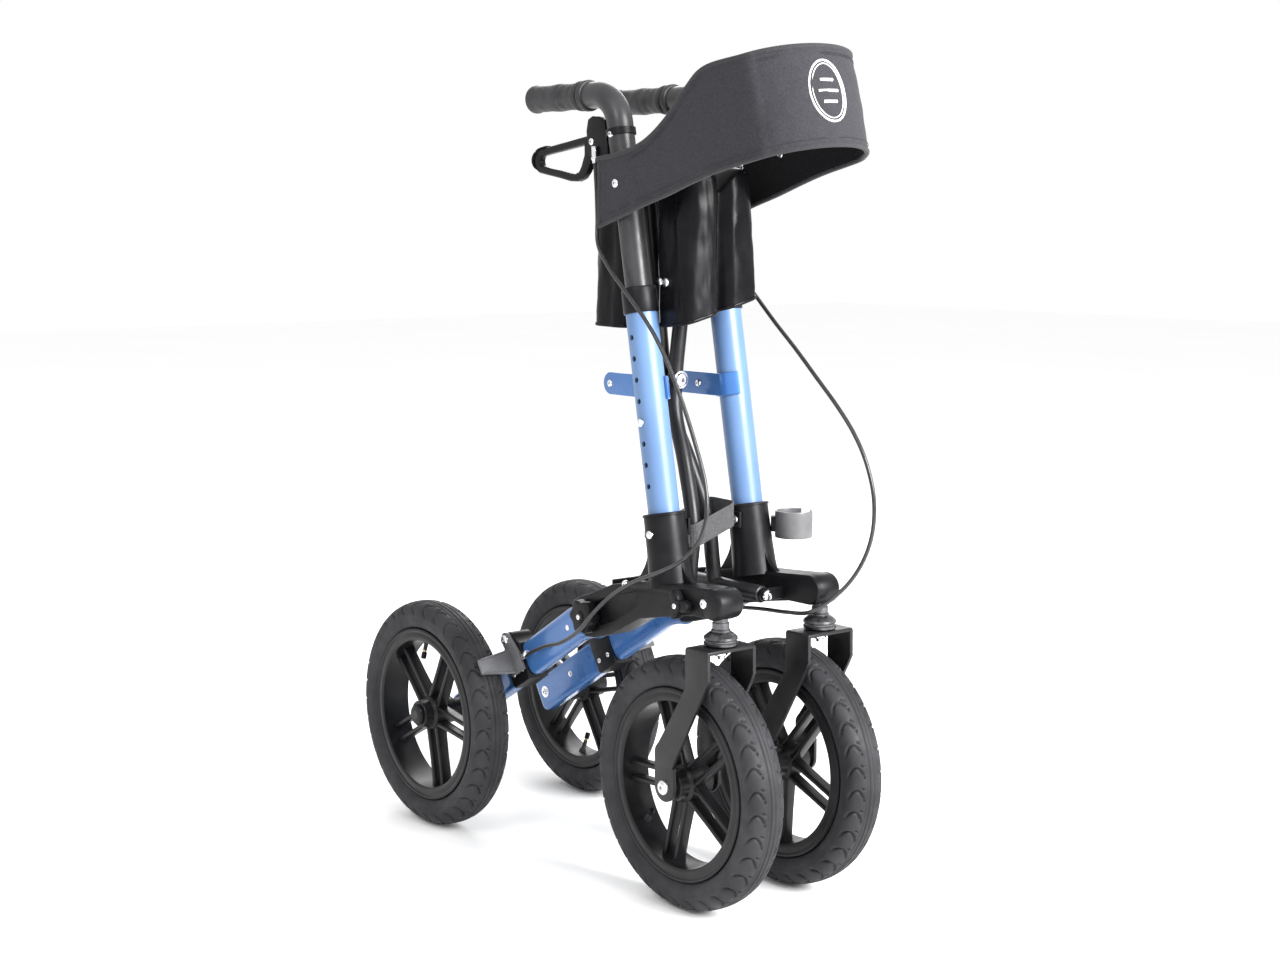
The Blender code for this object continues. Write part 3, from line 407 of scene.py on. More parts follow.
def smooth_chain(points, pieces=8, closed=False):
    """Catmull-Rom points through a route."""
    route = [Vector(p) for p in points]
    if closed:
        route = [route[-1], *route, route[0], route[1]]
    else:
        route = [2 * route[0] - route[1], *route, 2 * route[-1] - route[-2]]
    chain = []
    for a, b, c, d in zip(route, route[1:], route[2:], route[3:]):
        for i in range(pieces):
            t = i / pieces
            square = (2 * a - 5 * b + 4 * c - d) * t * t
            cube = (3 * b - a - 3 * c + d) * t * t * t
            chain.append(0.5 * (2 * b + (c - a) * t + square + cube))
    if not closed:
        chain.append(route[-2])
    return chain


def circle(radius, steps=24):
    return [(radius * cos(2 * pi * i / steps), radius * sin(2 * pi * i / steps)) for i in range(steps)]


def oval(half_u, half_v, steps=24, power=2.6):
    """A soft rectangle."""
    points = []
    for c, s in circle(1, steps):
        u, v = abs(c) ** (2 / power), abs(s) ** (2 / power)
        points.append((half_u * u * (1 if c >= 0 else -1), half_v * v * (1 if s >= 0 else -1)))
    return points


def arc(centre, radius, start, end, steps):
    angles = (radians(start + (end - start) * i / steps) for i in range(steps + 1))
    return [(centre[0] + radius * cos(a), centre[1] + radius * sin(a)) for a in angles]


def sweep(route, section, look, closed=False, up=None, angle=40, sizes=None):
    """A section carried along a route. The section's second axis stays near up, if it is given."""
    count = len(route)
    verts, before = [], None
    for i, point in enumerate(route):
        nxt = route[(i + 1) % count] if closed or i + 1 < count else point
        last = route[i - 1] if closed or i else point
        ahead = (nxt - last).normalized()
        if up is not None:
            v = (Vector(up) - ahead * Vector(up).dot(ahead)).normalized()
        elif before is None:
            v = along(ahead).col[1]
        else:
            v = (before - ahead * before.dot(ahead)).normalized()
        before = v
        u = v.cross(ahead)
        size = sizes[i] if sizes else 1.0
        verts += [point + u * a * size + v * b * size for a, b in section]
    n = len(section)
    caps = [] if closed else ends(count, n)
    return piece(verts, quads(count, n, closed) + caps, look, angle)


def plate(outline, thick, y, look, soften=0.001, holes=(), rounds=3, angle=40):
    """Flat piece with an outline in (ahead, z), centred on a sideways position y, edges rounded."""
    data = bpy.data.curves.new("part", "CURVE")
    data.dimensions = "2D"
    data.fill_mode = "BOTH"
    data.extrude = thick / 2 - soften
    data.bevel_depth = soften
    data.bevel_resolution = rounds
    data.offset = -soften
    for loop in (outline, *holes):
        spline = data.splines.new("POLY")
        spline.points.add(len(loop) - 1)
        for knot, (ahead, z) in zip(spline.points, loop):
            knot.co = (REAR_X + ahead, z, 0, 1)
        spline.use_cyclic_u = True
    item = add(data)
    item.matrix_world = Matrix.Translation((0, y, 0)) @ Matrix.Rotation(pi / 2, 4, "X")
    return solid(item, look, angle)


def lifted(item):
    """The mesh of an object that is no longer needed."""
    mesh = item.data
    bpy.data.objects.remove(item, do_unlink=True)
    return mesh


def solid(item, look=None, angle=40):
    """The finished mesh of an object and its modifiers, welded, in place."""
    bpy.context.view_layer.update()
    graph = bpy.context.evaluated_depsgraph_get()
    mesh = bpy.data.meshes.new_from_object(item.evaluated_get(graph))
    mesh.transform(item.matrix_world)
    bpy.data.objects.remove(item, do_unlink=True)
    outward(mesh, 2e-6)
    if look:
        mesh.materials.clear()
    return shade(add(mesh, look), angle)


def combine(item, tools, operation="UNION", angle=35):
    for tool in tools:
        step = item.modifiers.new("combine", "BOOLEAN")
        step.operation = operation
        step.object = tool
        step.solver = "EXACT"
    made = solid(item, None, angle)
    for tool in tools:
        bpy.data.objects.remove(tool, do_unlink=True)
    return made


def join(items):
    """Several closed shells as one piece, each keeping its material."""
    work = bmesh.new()
    looks = []
    for item in items:
        source = item.data
        source.transform(item.matrix_world)
        looks += [found for found in source.materials if found not in looks]
        used = [looks.index(found) for found in source.materials]
        start = len(work.faces)
        work.from_mesh(source)
        work.faces.ensure_lookup_table()
        for face in work.faces[start:]:
            face.material_index = used[min(face.material_index, len(used) - 1)]
        bpy.data.objects.remove(item, do_unlink=True)
    mesh = drawn(work)
    for found in looks:
        mesh.materials.append(found)
    return add(mesh)


def softened(work, soften, look, angle=35):
    """A finished bmesh as an object, every edge rounded."""
    bmesh.ops.bevel(work, geom=list(work.edges), offset=soften, segments=3, profile=0.5, affect="EDGES")
    return shade(add(drawn(work), look), angle)


def box(low, high, look, soften=0.001):
    work = bmesh.new()
    bmesh.ops.create_cube(work, size=1.0)
    low, high = Vector(low), Vector(high)
    bmesh.ops.scale(work, vec=high - low, verts=work.verts)
    bmesh.ops.translate(work, vec=(low + high) / 2, verts=work.verts)
    return softened(work, soften, look, 40)


def hull(points, look, soften):
    work = bmesh.new()
    for point in points:
        work.verts.new(point)
    bmesh.ops.convex_hull(work, input=work.verts)
    return softened(work, soften, look)


def bolt(centre, direction, radius, height, socket=True):
    """Domed screw head with a hexagon socket, or a plain rivet, standing on a face."""
    profile = [(0, -0.001), (radius, -0.001), (radius, height * 0.35)]
    for i in range(1, 5):
        a = i * pi / 10
        profile.append((radius * cos(a), height * (0.35 + 0.65 * sin(a))))
    if socket:
        profile += [(radius * 0.52, height, 1.0), (radius * 0.52, height * 0.25, 1.0)]
        profile.append((0, height * 0.25))
    else:
        profile.append((0, height))
    return revolve(profile, centre, direction, "steel", 24)


def rivet(centre, direction, radius, height):
    return bolt(centre, direction, radius, height, False)


def settle(name, item, body, slot, *nodes):
    """Sets a finished piece on its body and hides the CAD nodes it stands for. The slot argument is not used.
    """
    item.name = name
    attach(item, body)
    if nodes:
        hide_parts(*nodes)


def ride(label, name, item, body, slot, *nodes):
    """settle, with the same label in front of every name."""
    settle(f"{label}_{name}", item, f"{label}_{body}", slot, *(f"{label}_{node}" for node in nodes))


def span(name, item, slot, first, second, start, end, node=None):
    """Names a soft piece, bakes its placement into its mesh and hides the CAD node it stands for. The slot,
    the two bodies and the two points are not used.
    """
    item.name = name
    if node:
        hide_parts(node)
    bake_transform(item)


# Camera, light and floor.


def set_stage():
    scene = bpy.context.scene
    scene.view_settings.view_transform = "Standard"
    data = bpy.data.cameras.new("camera")
    data.sensor_width = 36.0
    data.lens = 56.5
    camera = add(data, name="camera")
    camera.location = (2.0015, -1.5583, 0.8144)
    camera.rotation_euler = (pi / 2 - 0.13, 0, 0.9004)
    scene.camera = camera
    world = bpy.data.worlds.new("studio")
    world.use_nodes = True
    sky = world.node_tree.nodes["Background"].inputs
    sky["Color"].default_value = (1.0, 1.0, 1.0, 1.0)
    sky["Strength"].default_value = 1.0
    scene.world = world
    for name, place, size, power in (
        ("front", (2.8, 0.5, 1.7), 1.6, 230.0),
        ("side", (1.2, -2.6, 2.6), 1.4, 30.0),
        ("back", (-2.0, 1.8, 2.0), 2.0, 40.0),
    ):
        light = bpy.data.lights.new(name, "AREA")
        light.shape = "DISK"
        light.size = size
        light.energy = power
        lamp = add(light, name=name)
        lamp.location = place
        lamp.rotation_euler = (Vector(place) - Vector((0, 0, 0.45))).to_track_quat("Z", "Y").to_euler()
    work = bmesh.new()
    bmesh.ops.create_grid(work, x_segments=8, y_segments=8, size=12.0)
    floor = add(drawn(work), "floor", "floor")
    floor.location.z = -0.0005


# Wheels.

TYRE_RADIUS = 0.1517
BEAD_RADIUS = 0.1162
PITCHES = 34
STEPS_PER_PITCH = 22
SPOKE_TURNS = {"right_front": -33, "left_front": -22, "right_rear": -8, "left_rear": 14}
VALVE_BAYS = {"right_front": 3, "left_front": 3, "right_rear": 1, "left_rear": 3}


def tyre_section():
    """(radius, sideways, distance from the crown along the surface), from bead to bead."""
    half = [(TYRE_RADIUS, 0.0), (0.1511, 0.008), (0.1484, 0.0165), (0.1428, 0.0226), (0.134, 0.0251)]
    half += [(0.125, 0.024), (0.1192, 0.0212), (BEAD_RADIUS, 0.0178)]
    chain = smooth_chain([(r, -h) for r, h in reversed(half[1:])] + half, 5)
    run = [0.0]
    for a, b in zip(chain, chain[1:]):
        run.append(run[-1] + (b - a).length)
    return [(p.x, p.y, s - run[-1] / 2) for p, s in zip(chain, run)]


def tread_depth(along_pitch, across, pitch):
    """Depth of the moulded pattern at a place on the tyre, in metres."""

    def gap(curve):
        return (along_pitch - curve + pitch / 2) % pitch - pitch / 2

    d = abs(across)
    grooves = (0.0036, 0.0088)
    depth = max(0.0022 * max(0.0, 1 - abs(d - line) / 0.0014) for line in grooves)
    inner, outer, half = 0.0105, 0.0345, 0.012
    if inner < d < outer:
        t = (d - inner - half) / half
        curve = 0.52 * pitch * (1 - t * t) + (0.1 * pitch if across > 0 else 0.45 * pitch)
        slope = 1.04 * pitch * t / half
        far = abs(gap(curve)) / (1 + slope * slope) ** 0.5
        fade = min(1.0, (outer - d) / 0.004, (d - inner) / 0.001)
        depth = max(depth, 0.0027 * fade * max(0.0, 1 - (far / 0.0017) ** 2))
    if 0.0098 < d < 0.0165:
        curve = (0.62 if across > 0 else 0.97) * pitch + 0.5 * (d - 0.0098)
        depth = max(depth, 0.0024 * max(0.0, 1 - (gap(curve) / 0.0016) ** 2))
    if abs(d - 0.0385) < 0.0007:
        depth = max(depth, 0.0005)
    return depth


def make_tyre():
    section = tyre_section()
    around = PITCHES * STEPS_PER_PITCH
    pitch = 2 * pi * TYRE_RADIUS / PITCHES
    pattern = [
        [tread_depth(i * pitch / STEPS_PER_PITCH, s, pitch) for _, _, s in section]
        for i in range(STEPS_PER_PITCH)
    ]
    normals = []
    for k in range(len(section)):
        a, b = section[max(k - 1, 0)], section[min(k + 1, len(section) - 1)]
        tangent = Vector((b[0] - a[0], b[1] - a[1])).normalized()
        normals.append(Vector((tangent.y, -tangent.x)))
    verts = []
    floor = BEAD_RADIUS + 0.0002
    for i in range(around):
        a = 2 * pi * i / around
        for (r, h, _), normal, depth in zip(section, normals, pattern[i % STEPS_PER_PITCH]):
            rr, hh = r - normal.x * depth, h - normal.y * depth
            verts.append((rr * cos(a), hh, rr * sin(a)))
        verts.append((floor * cos(a), 0.0, floor * sin(a)))
    return piece(verts, quads(around, len(section) + 1, True), "tyre", 50)


def spoke_bar(offset, turn):
    """One bar of a spoke pair, crowned, from the hub to the rim."""
    route = [Vector((x, 0, offset)) for x in (0.012, 0.03, 0.06, 0.09, 0.103)]
    bar = sweep(route, oval(0.008, 0.0035, 20, 4.5), "rim", up=UP, sizes=[1.12, 1.02, 0.95, 0.98, 1.12])
    bar.data.transform(Matrix.Rotation(-turn, 4, "Y"))
    return bar


def make_rim():
    half = [(0.116, 0.0198), (0.1152, 0.0209), (0.1128, 0.0213), (0.1116, 0.0202), (0.1098, 0.02)]
    half += [(0.108, 0.0206), (0.1045, 0.021), (0.1012, 0.0208), (0.0998, 0.0196), (0.0993, 0.01)]
    ring = revolve(mirrored(half), (0, 0, 0), 1, "rim", 96, ring=True)
    side = [(0.0064, 0.0258), (0.012, 0.026), (0.0172, 0.0256), (0.0182, 0.0245), (0.019, 0.013)]
    side.append((0.0225, 0.0095))
    profile = side + [(0.0228, 0.0)] + [(r, -h) for r, h in reversed(side)]
    hub = revolve(profile, (0, 0, 0), 1, "rim", 48, ring=True)
    bars = [spoke_bar(offset, 2 * pi * pair / 5) for pair in range(5) for offset in (-0.01, 0.01)]
    return combine(ring, [hub, *bars], "UNION", 38)


def valve_parts(turn):
    """Valve stem on the rim's inner face, with its collar and cap."""
    out = Matrix.Rotation(-turn, 4, "Y") @ Vector((-1, 0, 0))
    root = out * -0.099
    tilt = (out + Vector((0, -0.35, 0))).normalized()
    stem = [(0, -0.002), (0.0052, -0.002), (0.0048, 0.002), (0.0031, 0.005), (0.0028, 0.016), (0, 0.016)]
    cap = [(0, 0.0185), (0.0036, 0.0185), (0.0037, 0.0255), (0.003, 0.0275), (0, 0.0278)]
    return [
        revolve(stem, root, tilt, "rubber", 20),
        rod(0.0026, 0.0155, 0.019, root, tilt, "brass", 16),
        revolve(cap, root, tilt, "plastic", 18),
    ]


def stamp(mesh, transform):
    """A copy of a master mesh, put in place."""
    item = add(mesh.copy())
    item.data.transform(transform)
    return item


def make_wheels():
    tyre, rim = lifted(make_tyre()), lifted(make_rim())
    seal = [(0.0066, 0.0262), (0.0105, 0.0264), (0.0118, 0.0255), (0.0118, 0.0235), (0.0066, 0.0235)]
    for label, side in SIDES:
        for end in ("rear", "front"):
            wheel = f"{label}_{end}"
            y = side * (REAR_Y if end == "rear" else FRONT_Y)
            hub = at(0 if end == "rear" else WHEELBASE, y, AXLE_Z)
            spin = Matrix.Translation(hub) @ Matrix.Rotation(-radians(SPOKE_TURNS[wheel]), 4, "Y")
            ride(wheel, "wheel_tyre", stamp(tyre, spin), "wheel", "tyre", "tyre")
            ride(wheel, "wheel_rim", stamp(rim, spin), "wheel", "rim", "rim")
            valve = join(valve_parts(radians(36 + 72 * VALVE_BAYS[wheel])))
            valve.data.transform(spin @ Matrix.Diagonal((1, -side, 1, 1)))
            if side > 0:
                valve.data.flip_normals()
            ride(wheel, "wheel_valve", valve, "wheel", "rim")
            seals = [revolve(seal, hub, which, "cup", 32, ring=True) for which in BOTH]
            ride(wheel, "wheel_bearing_seals", join(seals), "wheel", "rim")


# Casters.

FORK_INNER = 0.032
FORK_THICK = 0.005


def fork_leg_outline():
    """Upright at the crown and at the axle, swept rearward between the two."""
    half, end = 0.02, 0.0175
    crown_rear, crown_front = STEM_AHEAD - half, STEM_AHEAD + half
    foot_rear, foot_front = WHEELBASE - end, WHEELBASE + end
    rear = [(crown_rear, 0.3235), (crown_rear, 0.3), (crown_rear, 0.284), (crown_rear - 0.0035, 0.2725)]
    rear += [(0.47, 0.211), (foot_rear + 0.0008, 0.197), (foot_rear, 0.185), (foot_rear, 0.17)]
    front = [(foot_front, 0.166), (foot_front, 0.177), (foot_front + 0.002, 0.187)]
    front += [(crown_front - 0.005, 0.281), (crown_front, 0.296), (crown_front, 0.308), (crown_front, 0.3235)]
    return smooth_chain(rear, 3) + arc((WHEELBASE, AXLE_Z), end, 180, 360, 20) + smooth_chain(front, 3)


def make_caster(label, side):
    y, face = side * FRONT_Y, FORK_INNER + FORK_THICK
    legs = []
    for which in BOTH:
        leg_y = y + which * (FORK_INNER + FORK_THICK / 2)
        legs.append(plate(fork_leg_outline(), FORK_THICK, leg_y, "paint", 0.001))
    low = at(STEM_AHEAD - 0.02, y - face, CROWN_Z - FORK_THICK)
    crown = box(low, at(STEM_AHEAD + 0.02, y + face, CROWN_Z), "paint", 0.002)
    ride(label, "fork_frame", combine(crown, legs), "caster", "black_paint", "fork")
    stem = at(STEM_AHEAD, y, 0)
    cup = [(0, 0.3261), (0.0165, 0.3261), (0.0195, 0.328), (0.02, 0.3305), (0.0185, 0.332)]
    cup += [(0.0185, 0.3335), (0.02, 0.335), (0.0195, 0.3375), (0.0155, 0.341), (0.0125, 0.343)]
    cup.append((0, 0.343))
    sleeve = [(0, 0.3425), (0.0112, 0.3425), (0.0114, 0.345), (0.01, 0.3465), (0.01, 0.3535)]
    sleeve += [(0.0085, 0.354), (0.0085, 0.384), (0, 0.384)]
    nut = [(0, 0.3208), (0.0085, 0.3208, 1.0), (0.0085, 0.316, 1.0), (0.007, 0.3146, 0.6)]
    nut += [(0.0048, 0.3146), (0.0046, 0.311), (0, 0.3108)]
    parts = [revolve(cup, stem, UP, "cup", 56), revolve(sleeve, stem, UP, "cup", 40)]
    parts.append(revolve(nut, stem, UP, "steel", 48))
    ride(label, "caster_stem_detail", join(parts), "caster", "steel", "caster_stem")
    hub = at(WHEELBASE, y, AXLE_Z)
    parts = [rod(0.0059, face, -face, hub, 1, "steel")]
    near = FORK_INNER - 0.0002
    spacer = [(0.0062, near), (0.009, near), (0.009, 0.0266), (0.0062, 0.0266)]
    for which in BOTH:
        parts.append(bolt(aside(hub, which * (face + 0.0008)), which, 0.0088, 0.0042))
        parts.append(revolve(spacer, hub, which, "steel", 28, ring=True))
    ride(label, "caster_axle", join(parts), "caster", "steel", "front_axle")


# Base castings.

PIVOT_Z = 0.366
PIVOT_Y = 0.03
# Each rib up the socket: its top, the flare down to the casting, and its foot.
RIBS = (
    ((0.406, 0.444), ((0.398, 0.444), (0.391, 0.422), (0.384, 0.4), (0.368, 0.377)), (0.404, 0.37)),
    ((0.428, 0.444), ((0.44, 0.444), (0.448, 0.424), (0.457, 0.402), (0.474, 0.388)), (0.428, 0.382)),
)


def casting_outline():
    rear = [(0.28, 0.303), (0.268, 0.314), (0.2625, 0.327), (0.267, 0.341)]
    top = [(0.283, 0.349), (0.3, 0.354), (0.345, 0.372), (0.4, 0.384), (0.48, 0.389), (0.515, 0.3915)]
    nose = arc((STEM_AHEAD, NOSE_Z), 0.018, 90, -90, 16)
    bottom = [(0.5, 0.357), (0.47, 0.352), (0.4, 0.338), (0.345, 0.31), (0.31, 0.3), (0.295, 0.2985)]
    return rear + top + nose + bottom


def make_casting(label, side):
    body = plate(casting_outline(), 2 * CASTING_HALF, side * CASTING_Y, "plastic", 0.0025)
    nose_at = at(STEM_AHEAD, side * FRONT_Y, NOSE_Z)
    nose = mirrored([(0, 0.0168), (0.015, 0.0168), (0.0172, 0.0155), (0.0186, 0.0125)])
    foot = [(0, 0), (0.0236, 0), (0.0248, -0.0012), (0.025, -0.004), (0.0258, -0.05)]
    foot += [(0.0268, -0.072), (0.0285, -0.088), (0, -0.088)]
    tools = [revolve(nose, nose_at, side, "plastic", 56)]
    tools.append(revolve(foot, post_point(side, 0.466), POST_AXIS, "plastic", 56))
    for top, flare, end in RIBS:
        tools.append(plate([top, *smooth_chain(flare, 5), end], 0.0075, side * POST_Y, "plastic", 0.0012))
    for ahead in (0.3235, 0.4855):
        low, high = at(ahead, 0, 0.3585), at(ahead + 0.005, 0, 0.3735)
        low.y, high.y = sorted((side * 0.029, side * 0.074))
        tools.append(box(low, high, "plastic", 0.0012))
        eye_at = at(ahead + 0.0025, side * PIVOT_Y, PIVOT_Z)
        tools.append(rod(0.0078, 0.0025, -0.0025, eye_at, FORWARD, "plastic", 32))
    casting = combine(body, tools)
    bore = rod(POST_RADIUS + 0.0002, 0.12, 0.0, post_point(side, 0.396), POST_AXIS, "plastic", 56)
    inner, outer = 0.03, LEG_Y + LEG_THICK / 2 + 0.0004
    slot = plate(
        band_outline(front_leg_chain(-0.02, 0.0012, 12), LEG_HALF + 0.0004),
        outer - inner, side * (outer + inner) / 2, "plastic", 0.0002,
    )
    dent = [(0.302, 0.341), (0.345, 0.359), (0.395, 0.371), (0.395, 0.352), (0.35, 0.327), (0.318, 0.316)]
    pocket = plate(dent, 0.008, side * CASTING_FACE, "plastic", 0.0015)
    casting = combine(casting, [bore, slot, pocket], "DIFFERENCE")
    ride(label, "casting_body", casting, "frame", "black_plastic", "base_casting")
    ride(label, "casting_fittings", join(casting_fittings(side, nose_at)), "frame", "steel")


def casting_fittings(side, nose_at):
    """Screws, the socket's lip, its clamp ears and the screws at the lower pivots."""
    parts = []
    for ahead, z, face, radius in (
        (0.523, 0.375, FRONT_Y + 0.0168, 0.0058),
        (0.374, 0.376, CASTING_FACE, 0.0052),
        (0.286, 0.314, CASTING_FACE, 0.0044),
    ):
        parts.append(bolt(at(ahead, side * (face - 0.0002), z), side, radius, 0.0032))
    parts.append(rivet(aside(post_point(side, 0.442), side * 0.0252), side, 0.005, 0.0028))
    parts.append(bolt(aside(nose_at, -side * 0.0168), -side, 0.0056, 0.003))
    parts.append(bolt(at(0.486, side * 0.0575, PIVOT_Z), -side, 0.0044, 0.003))
    lip = [(0.0252, 0.0), (0.0262, -0.0005), (0.0262, -0.003), (0.0252, -0.0035)]
    parts.append(revolve(lip, post_point(side, 0.4655), POST_AXIS, "plastic", 56, ring=True))
    for ahead, facing in ((0.3215, -1), (0.4925, 1)):
        spot = at(ahead + 0.0015, side * PIVOT_Y, PIVOT_Z)
        parts.append(bolt(spot, (facing, 0, 0), 0.0065, 0.003))
    ear = [(0.395, 0.448), (0.395, 0.431), (0.3875, 0.433), (0.3875, 0.446)]
    for which in BOTH:
        parts.append(plate(ear, 0.004, side * (POST_Y - 0.0008) + which * 0.0068, "plastic", 0.001))
    ear_at = post_point(side, 0.449) + Vector((0.006, -side * 0.0255, 0))
    reach = Vector((0.008, 0.002, 0.01))
    parts.append(box(ear_at - reach, ear_at + reach, "plastic", 0.001))
    parts.append(bolt(aside(ear_at, -side * 0.0018), -side, 0.0048, 0.003))
    return parts


def wing_outline(centre, radius, lobes, depth, steps=72):
    points = []
    for i in range(steps):
        a = 2 * pi * i / steps
        r = radius - depth * (1 - cos(lobes * a)) / 2
        points.append((centre[0] + r * cos(a), centre[1] + r * sin(a)))
    return points


def make_knobs(label, side):
    boss = [(0, -0.004), (0.0078, -0.004), (0.0078, 0.0012), (0.0062, 0.0026), (0, 0.0026)]
    for body, node, centre, radius, lobes, depth, thick in (
        ("leg_clamp", "leg_knob", (0.303, 0.327), 0.022, 6, 0.004, 0.016),
        ("wing_screw", "wing_knob", (0.484, 0.368), 0.019, 3, 0.011, 0.012),
    ):
        y = side * (CASTING_FACE + 0.0004 + thick / 2)
        knob = plate(wing_outline(centre, radius, lobes, depth), thick, y, "plastic", 0.0026)
        boss_at = at(centre[0], side * (CASTING_FACE + thick), centre[1])
        knob = combine(knob, [revolve(boss, boss_at, side, "plastic", 32)])
        stud = bolt(aside(boss_at, side * 0.0022), side, 0.0034, 0.0018)
        ride(label, f"{node}_detail", join([knob, stud]), body, "black_plastic", node)


# Rear legs and brakes.

BAND_AT = 0.1595
BAND_LEVER = 0.035
LEVER_RADIUS = 0.01


def band_outline(chain, half):
    upper, lower = [], []
    for i, point in enumerate(chain):
        before = Vector(chain[max(i - 1, 0)])
        after = Vector(chain[min(i + 1, len(chain) - 1)])
        ahead = (after - before).normalized()
        normal = Vector((-ahead.y, ahead.x))
        upper.append(tuple(Vector(point) + normal * half))
        lower.append(tuple(Vector(point) - normal * half))
    return upper + lower[::-1]


def front_leg_chain(extra_rear=0.0, extra_front=0.0, steps=12):
    """The front bar's centre line in (ahead, z): straight up the slope, then arched."""
    straight_end = leg_point(0.285)
    radius, turn = 0.115, radians(27)
    centre = (straight_end[0] + radius * sin(LEG_SLOPE), straight_end[1] - radius * cos(LEG_SLOPE))
    chain = [leg_point(0.1783 + extra_rear)]
    for i in range(steps + 1):
        heading = LEG_SLOPE - turn * i / steps
        chain.append((centre[0] - radius * sin(heading), centre[1] + radius * cos(heading)))
    if extra_front:
        last, before = Vector(chain[-1]), Vector(chain[-2])
        chain.append(tuple(last + (last - before).normalized() * extra_front))
    return chain


def on_leg(distance, across, y):
    ahead, z = leg_point(distance, across)
    return at(ahead, y, z)


def make_legs(label, side):
    y, face, slope = side * LEG_Y, LEG_THICK / 2, degrees(LEG_SLOPE)
    chain = front_leg_chain(steps=16)
    section = oval(face, LEG_HALF, 40, 3.2)
    front = sweep([at(a, y, z) for a, z in chain], section, "blue", up=(-0.001, 0, 1), angle=60)
    ride(label, "leg_front_tube", front, "frame", "blue_paint", "leg_front")
    corner = 0.0075
    outline = arc(leg_point(corner - 0.0215, LEG_HALF - corner), corner, 90 + slope, 180 + slope, 8)
    outline += arc(leg_point(corner - 0.0215, corner - LEG_HALF), corner, 180 + slope, 270 + slope, 8)
    outline += [leg_point(0.135, -LEG_HALF), leg_point(0.135, LEG_HALF)]
    rear = plate(outline, LEG_THICK, y, "blue", 0.0085, rounds=8, angle=60)
    ride(label, "leg_rear_tube", rear, "frame", "blue_paint", "leg_rear")
    half, cut = LEG_HALF + 0.003, LEG_HALF
    corners = ((0.1353, cut), (0.1353, -cut), (0.1383, -half), (0.175, -half), (0.178, -cut))
    collar = [leg_point(*corner) for corner in (*corners, (0.178, cut), (0.175, half))]
    collar += arc(leg_point(BAND_AT, BAND_LEVER), LEVER_RADIUS, slope, 180 + slope, 16)
    collar.append(leg_point(0.1383, half))
    band = plate(collar, LEG_THICK + 0.006, y, "plastic", 0.0022)
    ride(label, "leg_collar", band, "frame", "black_plastic", "leg_band")
    parts = []
    for (a, z), where, radius, height in (
        (leg_point(0.07), 1, 0.0042, 0.002),
        (leg_point(0.07), -1, 0.0042, 0.002),
        (chain[1], 1, 0.004, 0.0018),
        (chain[1], -1, 0.004, 0.0018),
        (chain[8], 1, 0.004, 0.0018),
    ):
        parts.append(rivet(at(a, y + side * where * (face - 0.0002), z), side * where, radius, height))
    nut_at = on_leg(0.0, 0.0, y - side * (face - 0.0005))
    parts.append(bolt(nut_at, -side, 0.0056, 0.0036))
    washer = [(0.0057, 0.0), (0.008, 0.0), (0.008, 0.0012), (0.0057, 0.0012)]
    parts.append(revolve(washer, nut_at, -side, "steel", 40, ring=True))
    for distance in (0.146, 0.168):
        for where in BOTH:
            spot = on_leg(distance, -0.01, y + where * (face + 0.0028))
            parts.append(bolt(spot, where, 0.0034, 0.002))
    ride(label, "leg_fittings", join(parts), "frame", "steel")
    make_rear_axle(label, side)


def make_rear_axle(label, side):
    hub, face = at(0, side * LEG_Y, AXLE_Z), LEG_THICK / 2
    inside, tip = REAR_Y - LEG_Y - 0.026 - 0.0004, REAR_Y - LEG_Y + 0.0263
    profile = [(0, tip + 0.005), (0.0085, tip + 0.005), (0.0125, tip + 0.0042), (0.0142, tip + 0.002)]
    profile += [(0.0142, tip), (0.0059, tip), (0.0059, inside), (0.012, inside)]
    profile += [(0.014, face + 0.0045), (0.014, face + 0.0004), (0, face + 0.0004)]
    axle = revolve(profile, hub, side, "plastic", 48)
    cover = rod(0.006, tip + 0.0052, tip + 0.004, hub, side, "paint", 32)
    ride(label, "rear_axle_detail", join([axle, cover]), "frame", "black_paint", "rear_axle")


def make_brake(label, side):
    slope = degrees(LEG_SLOPE)
    cheek_low, cheek_thick = LEG_Y + LEG_THICK / 2 + 0.003 + 0.0013, 0.005
    pivot = leg_point(BAND_AT, BAND_LEVER)
    outline = arc(pivot, LEVER_RADIUS, slope, 180 + slope, 16)
    outline += [leg_point(0.1555, 0.01), leg_point(0.1555, -0.013)]
    outline += [leg_point(0.1785, -0.013), leg_point(0.1785, 0.01)]
    cheek = plate(outline, cheek_thick, side * (cheek_low + cheek_thick / 2), "grey")
    start, end = cheek_low + 0.001, REAR_Y + 0.0155
    corners = [
        on_leg(distance, across, side * y)
        for y, low, high in ((start, -0.012, 0.022), (end, -0.006, 0.014))
        for distance in (0.1566, 0.1612)
        for across in (low, high)
    ]
    parts = [combine(cheek, [hull(corners, "grey", 0.0009)])]
    for inner, outer in ((-0.0108, -0.005), (0.0208, 0.013)):
        edge = [on_leg(0.1609, inner, side * (start + 0.003)), on_leg(0.1609, outer, side * (end - 0.003))]
        parts.append(sweep(edge, circle(0.0014, 12), "grey"))
    ride(label, "brake_plate", join(parts), "brake", "black_paint", "brake_arm")
    hub = at(pivot[0], side * (cheek_low + cheek_thick), pivot[1])
    ferrule = [(0, 0), (0.003, 0), (0.0042, 0.002), (0.0042, 0.015), (0.003, 0.017), (0, 0.017)]
    direction = Vector((0.45, 0, 0.35)).normalized()
    ferrule_at = at(0.1545, side * 0.0898, 0.248) - direction * 0.002
    parts = [bolt(aside(hub, side * 0.0002), side, 0.0068, 0.0038)]
    parts.append(revolve(ferrule, ferrule_at, direction, "steel", 24))
    ride(label, "brake_pin_detail", join(parts), "frame", "steel", "brake_pin")


# Posts, handles and levers.

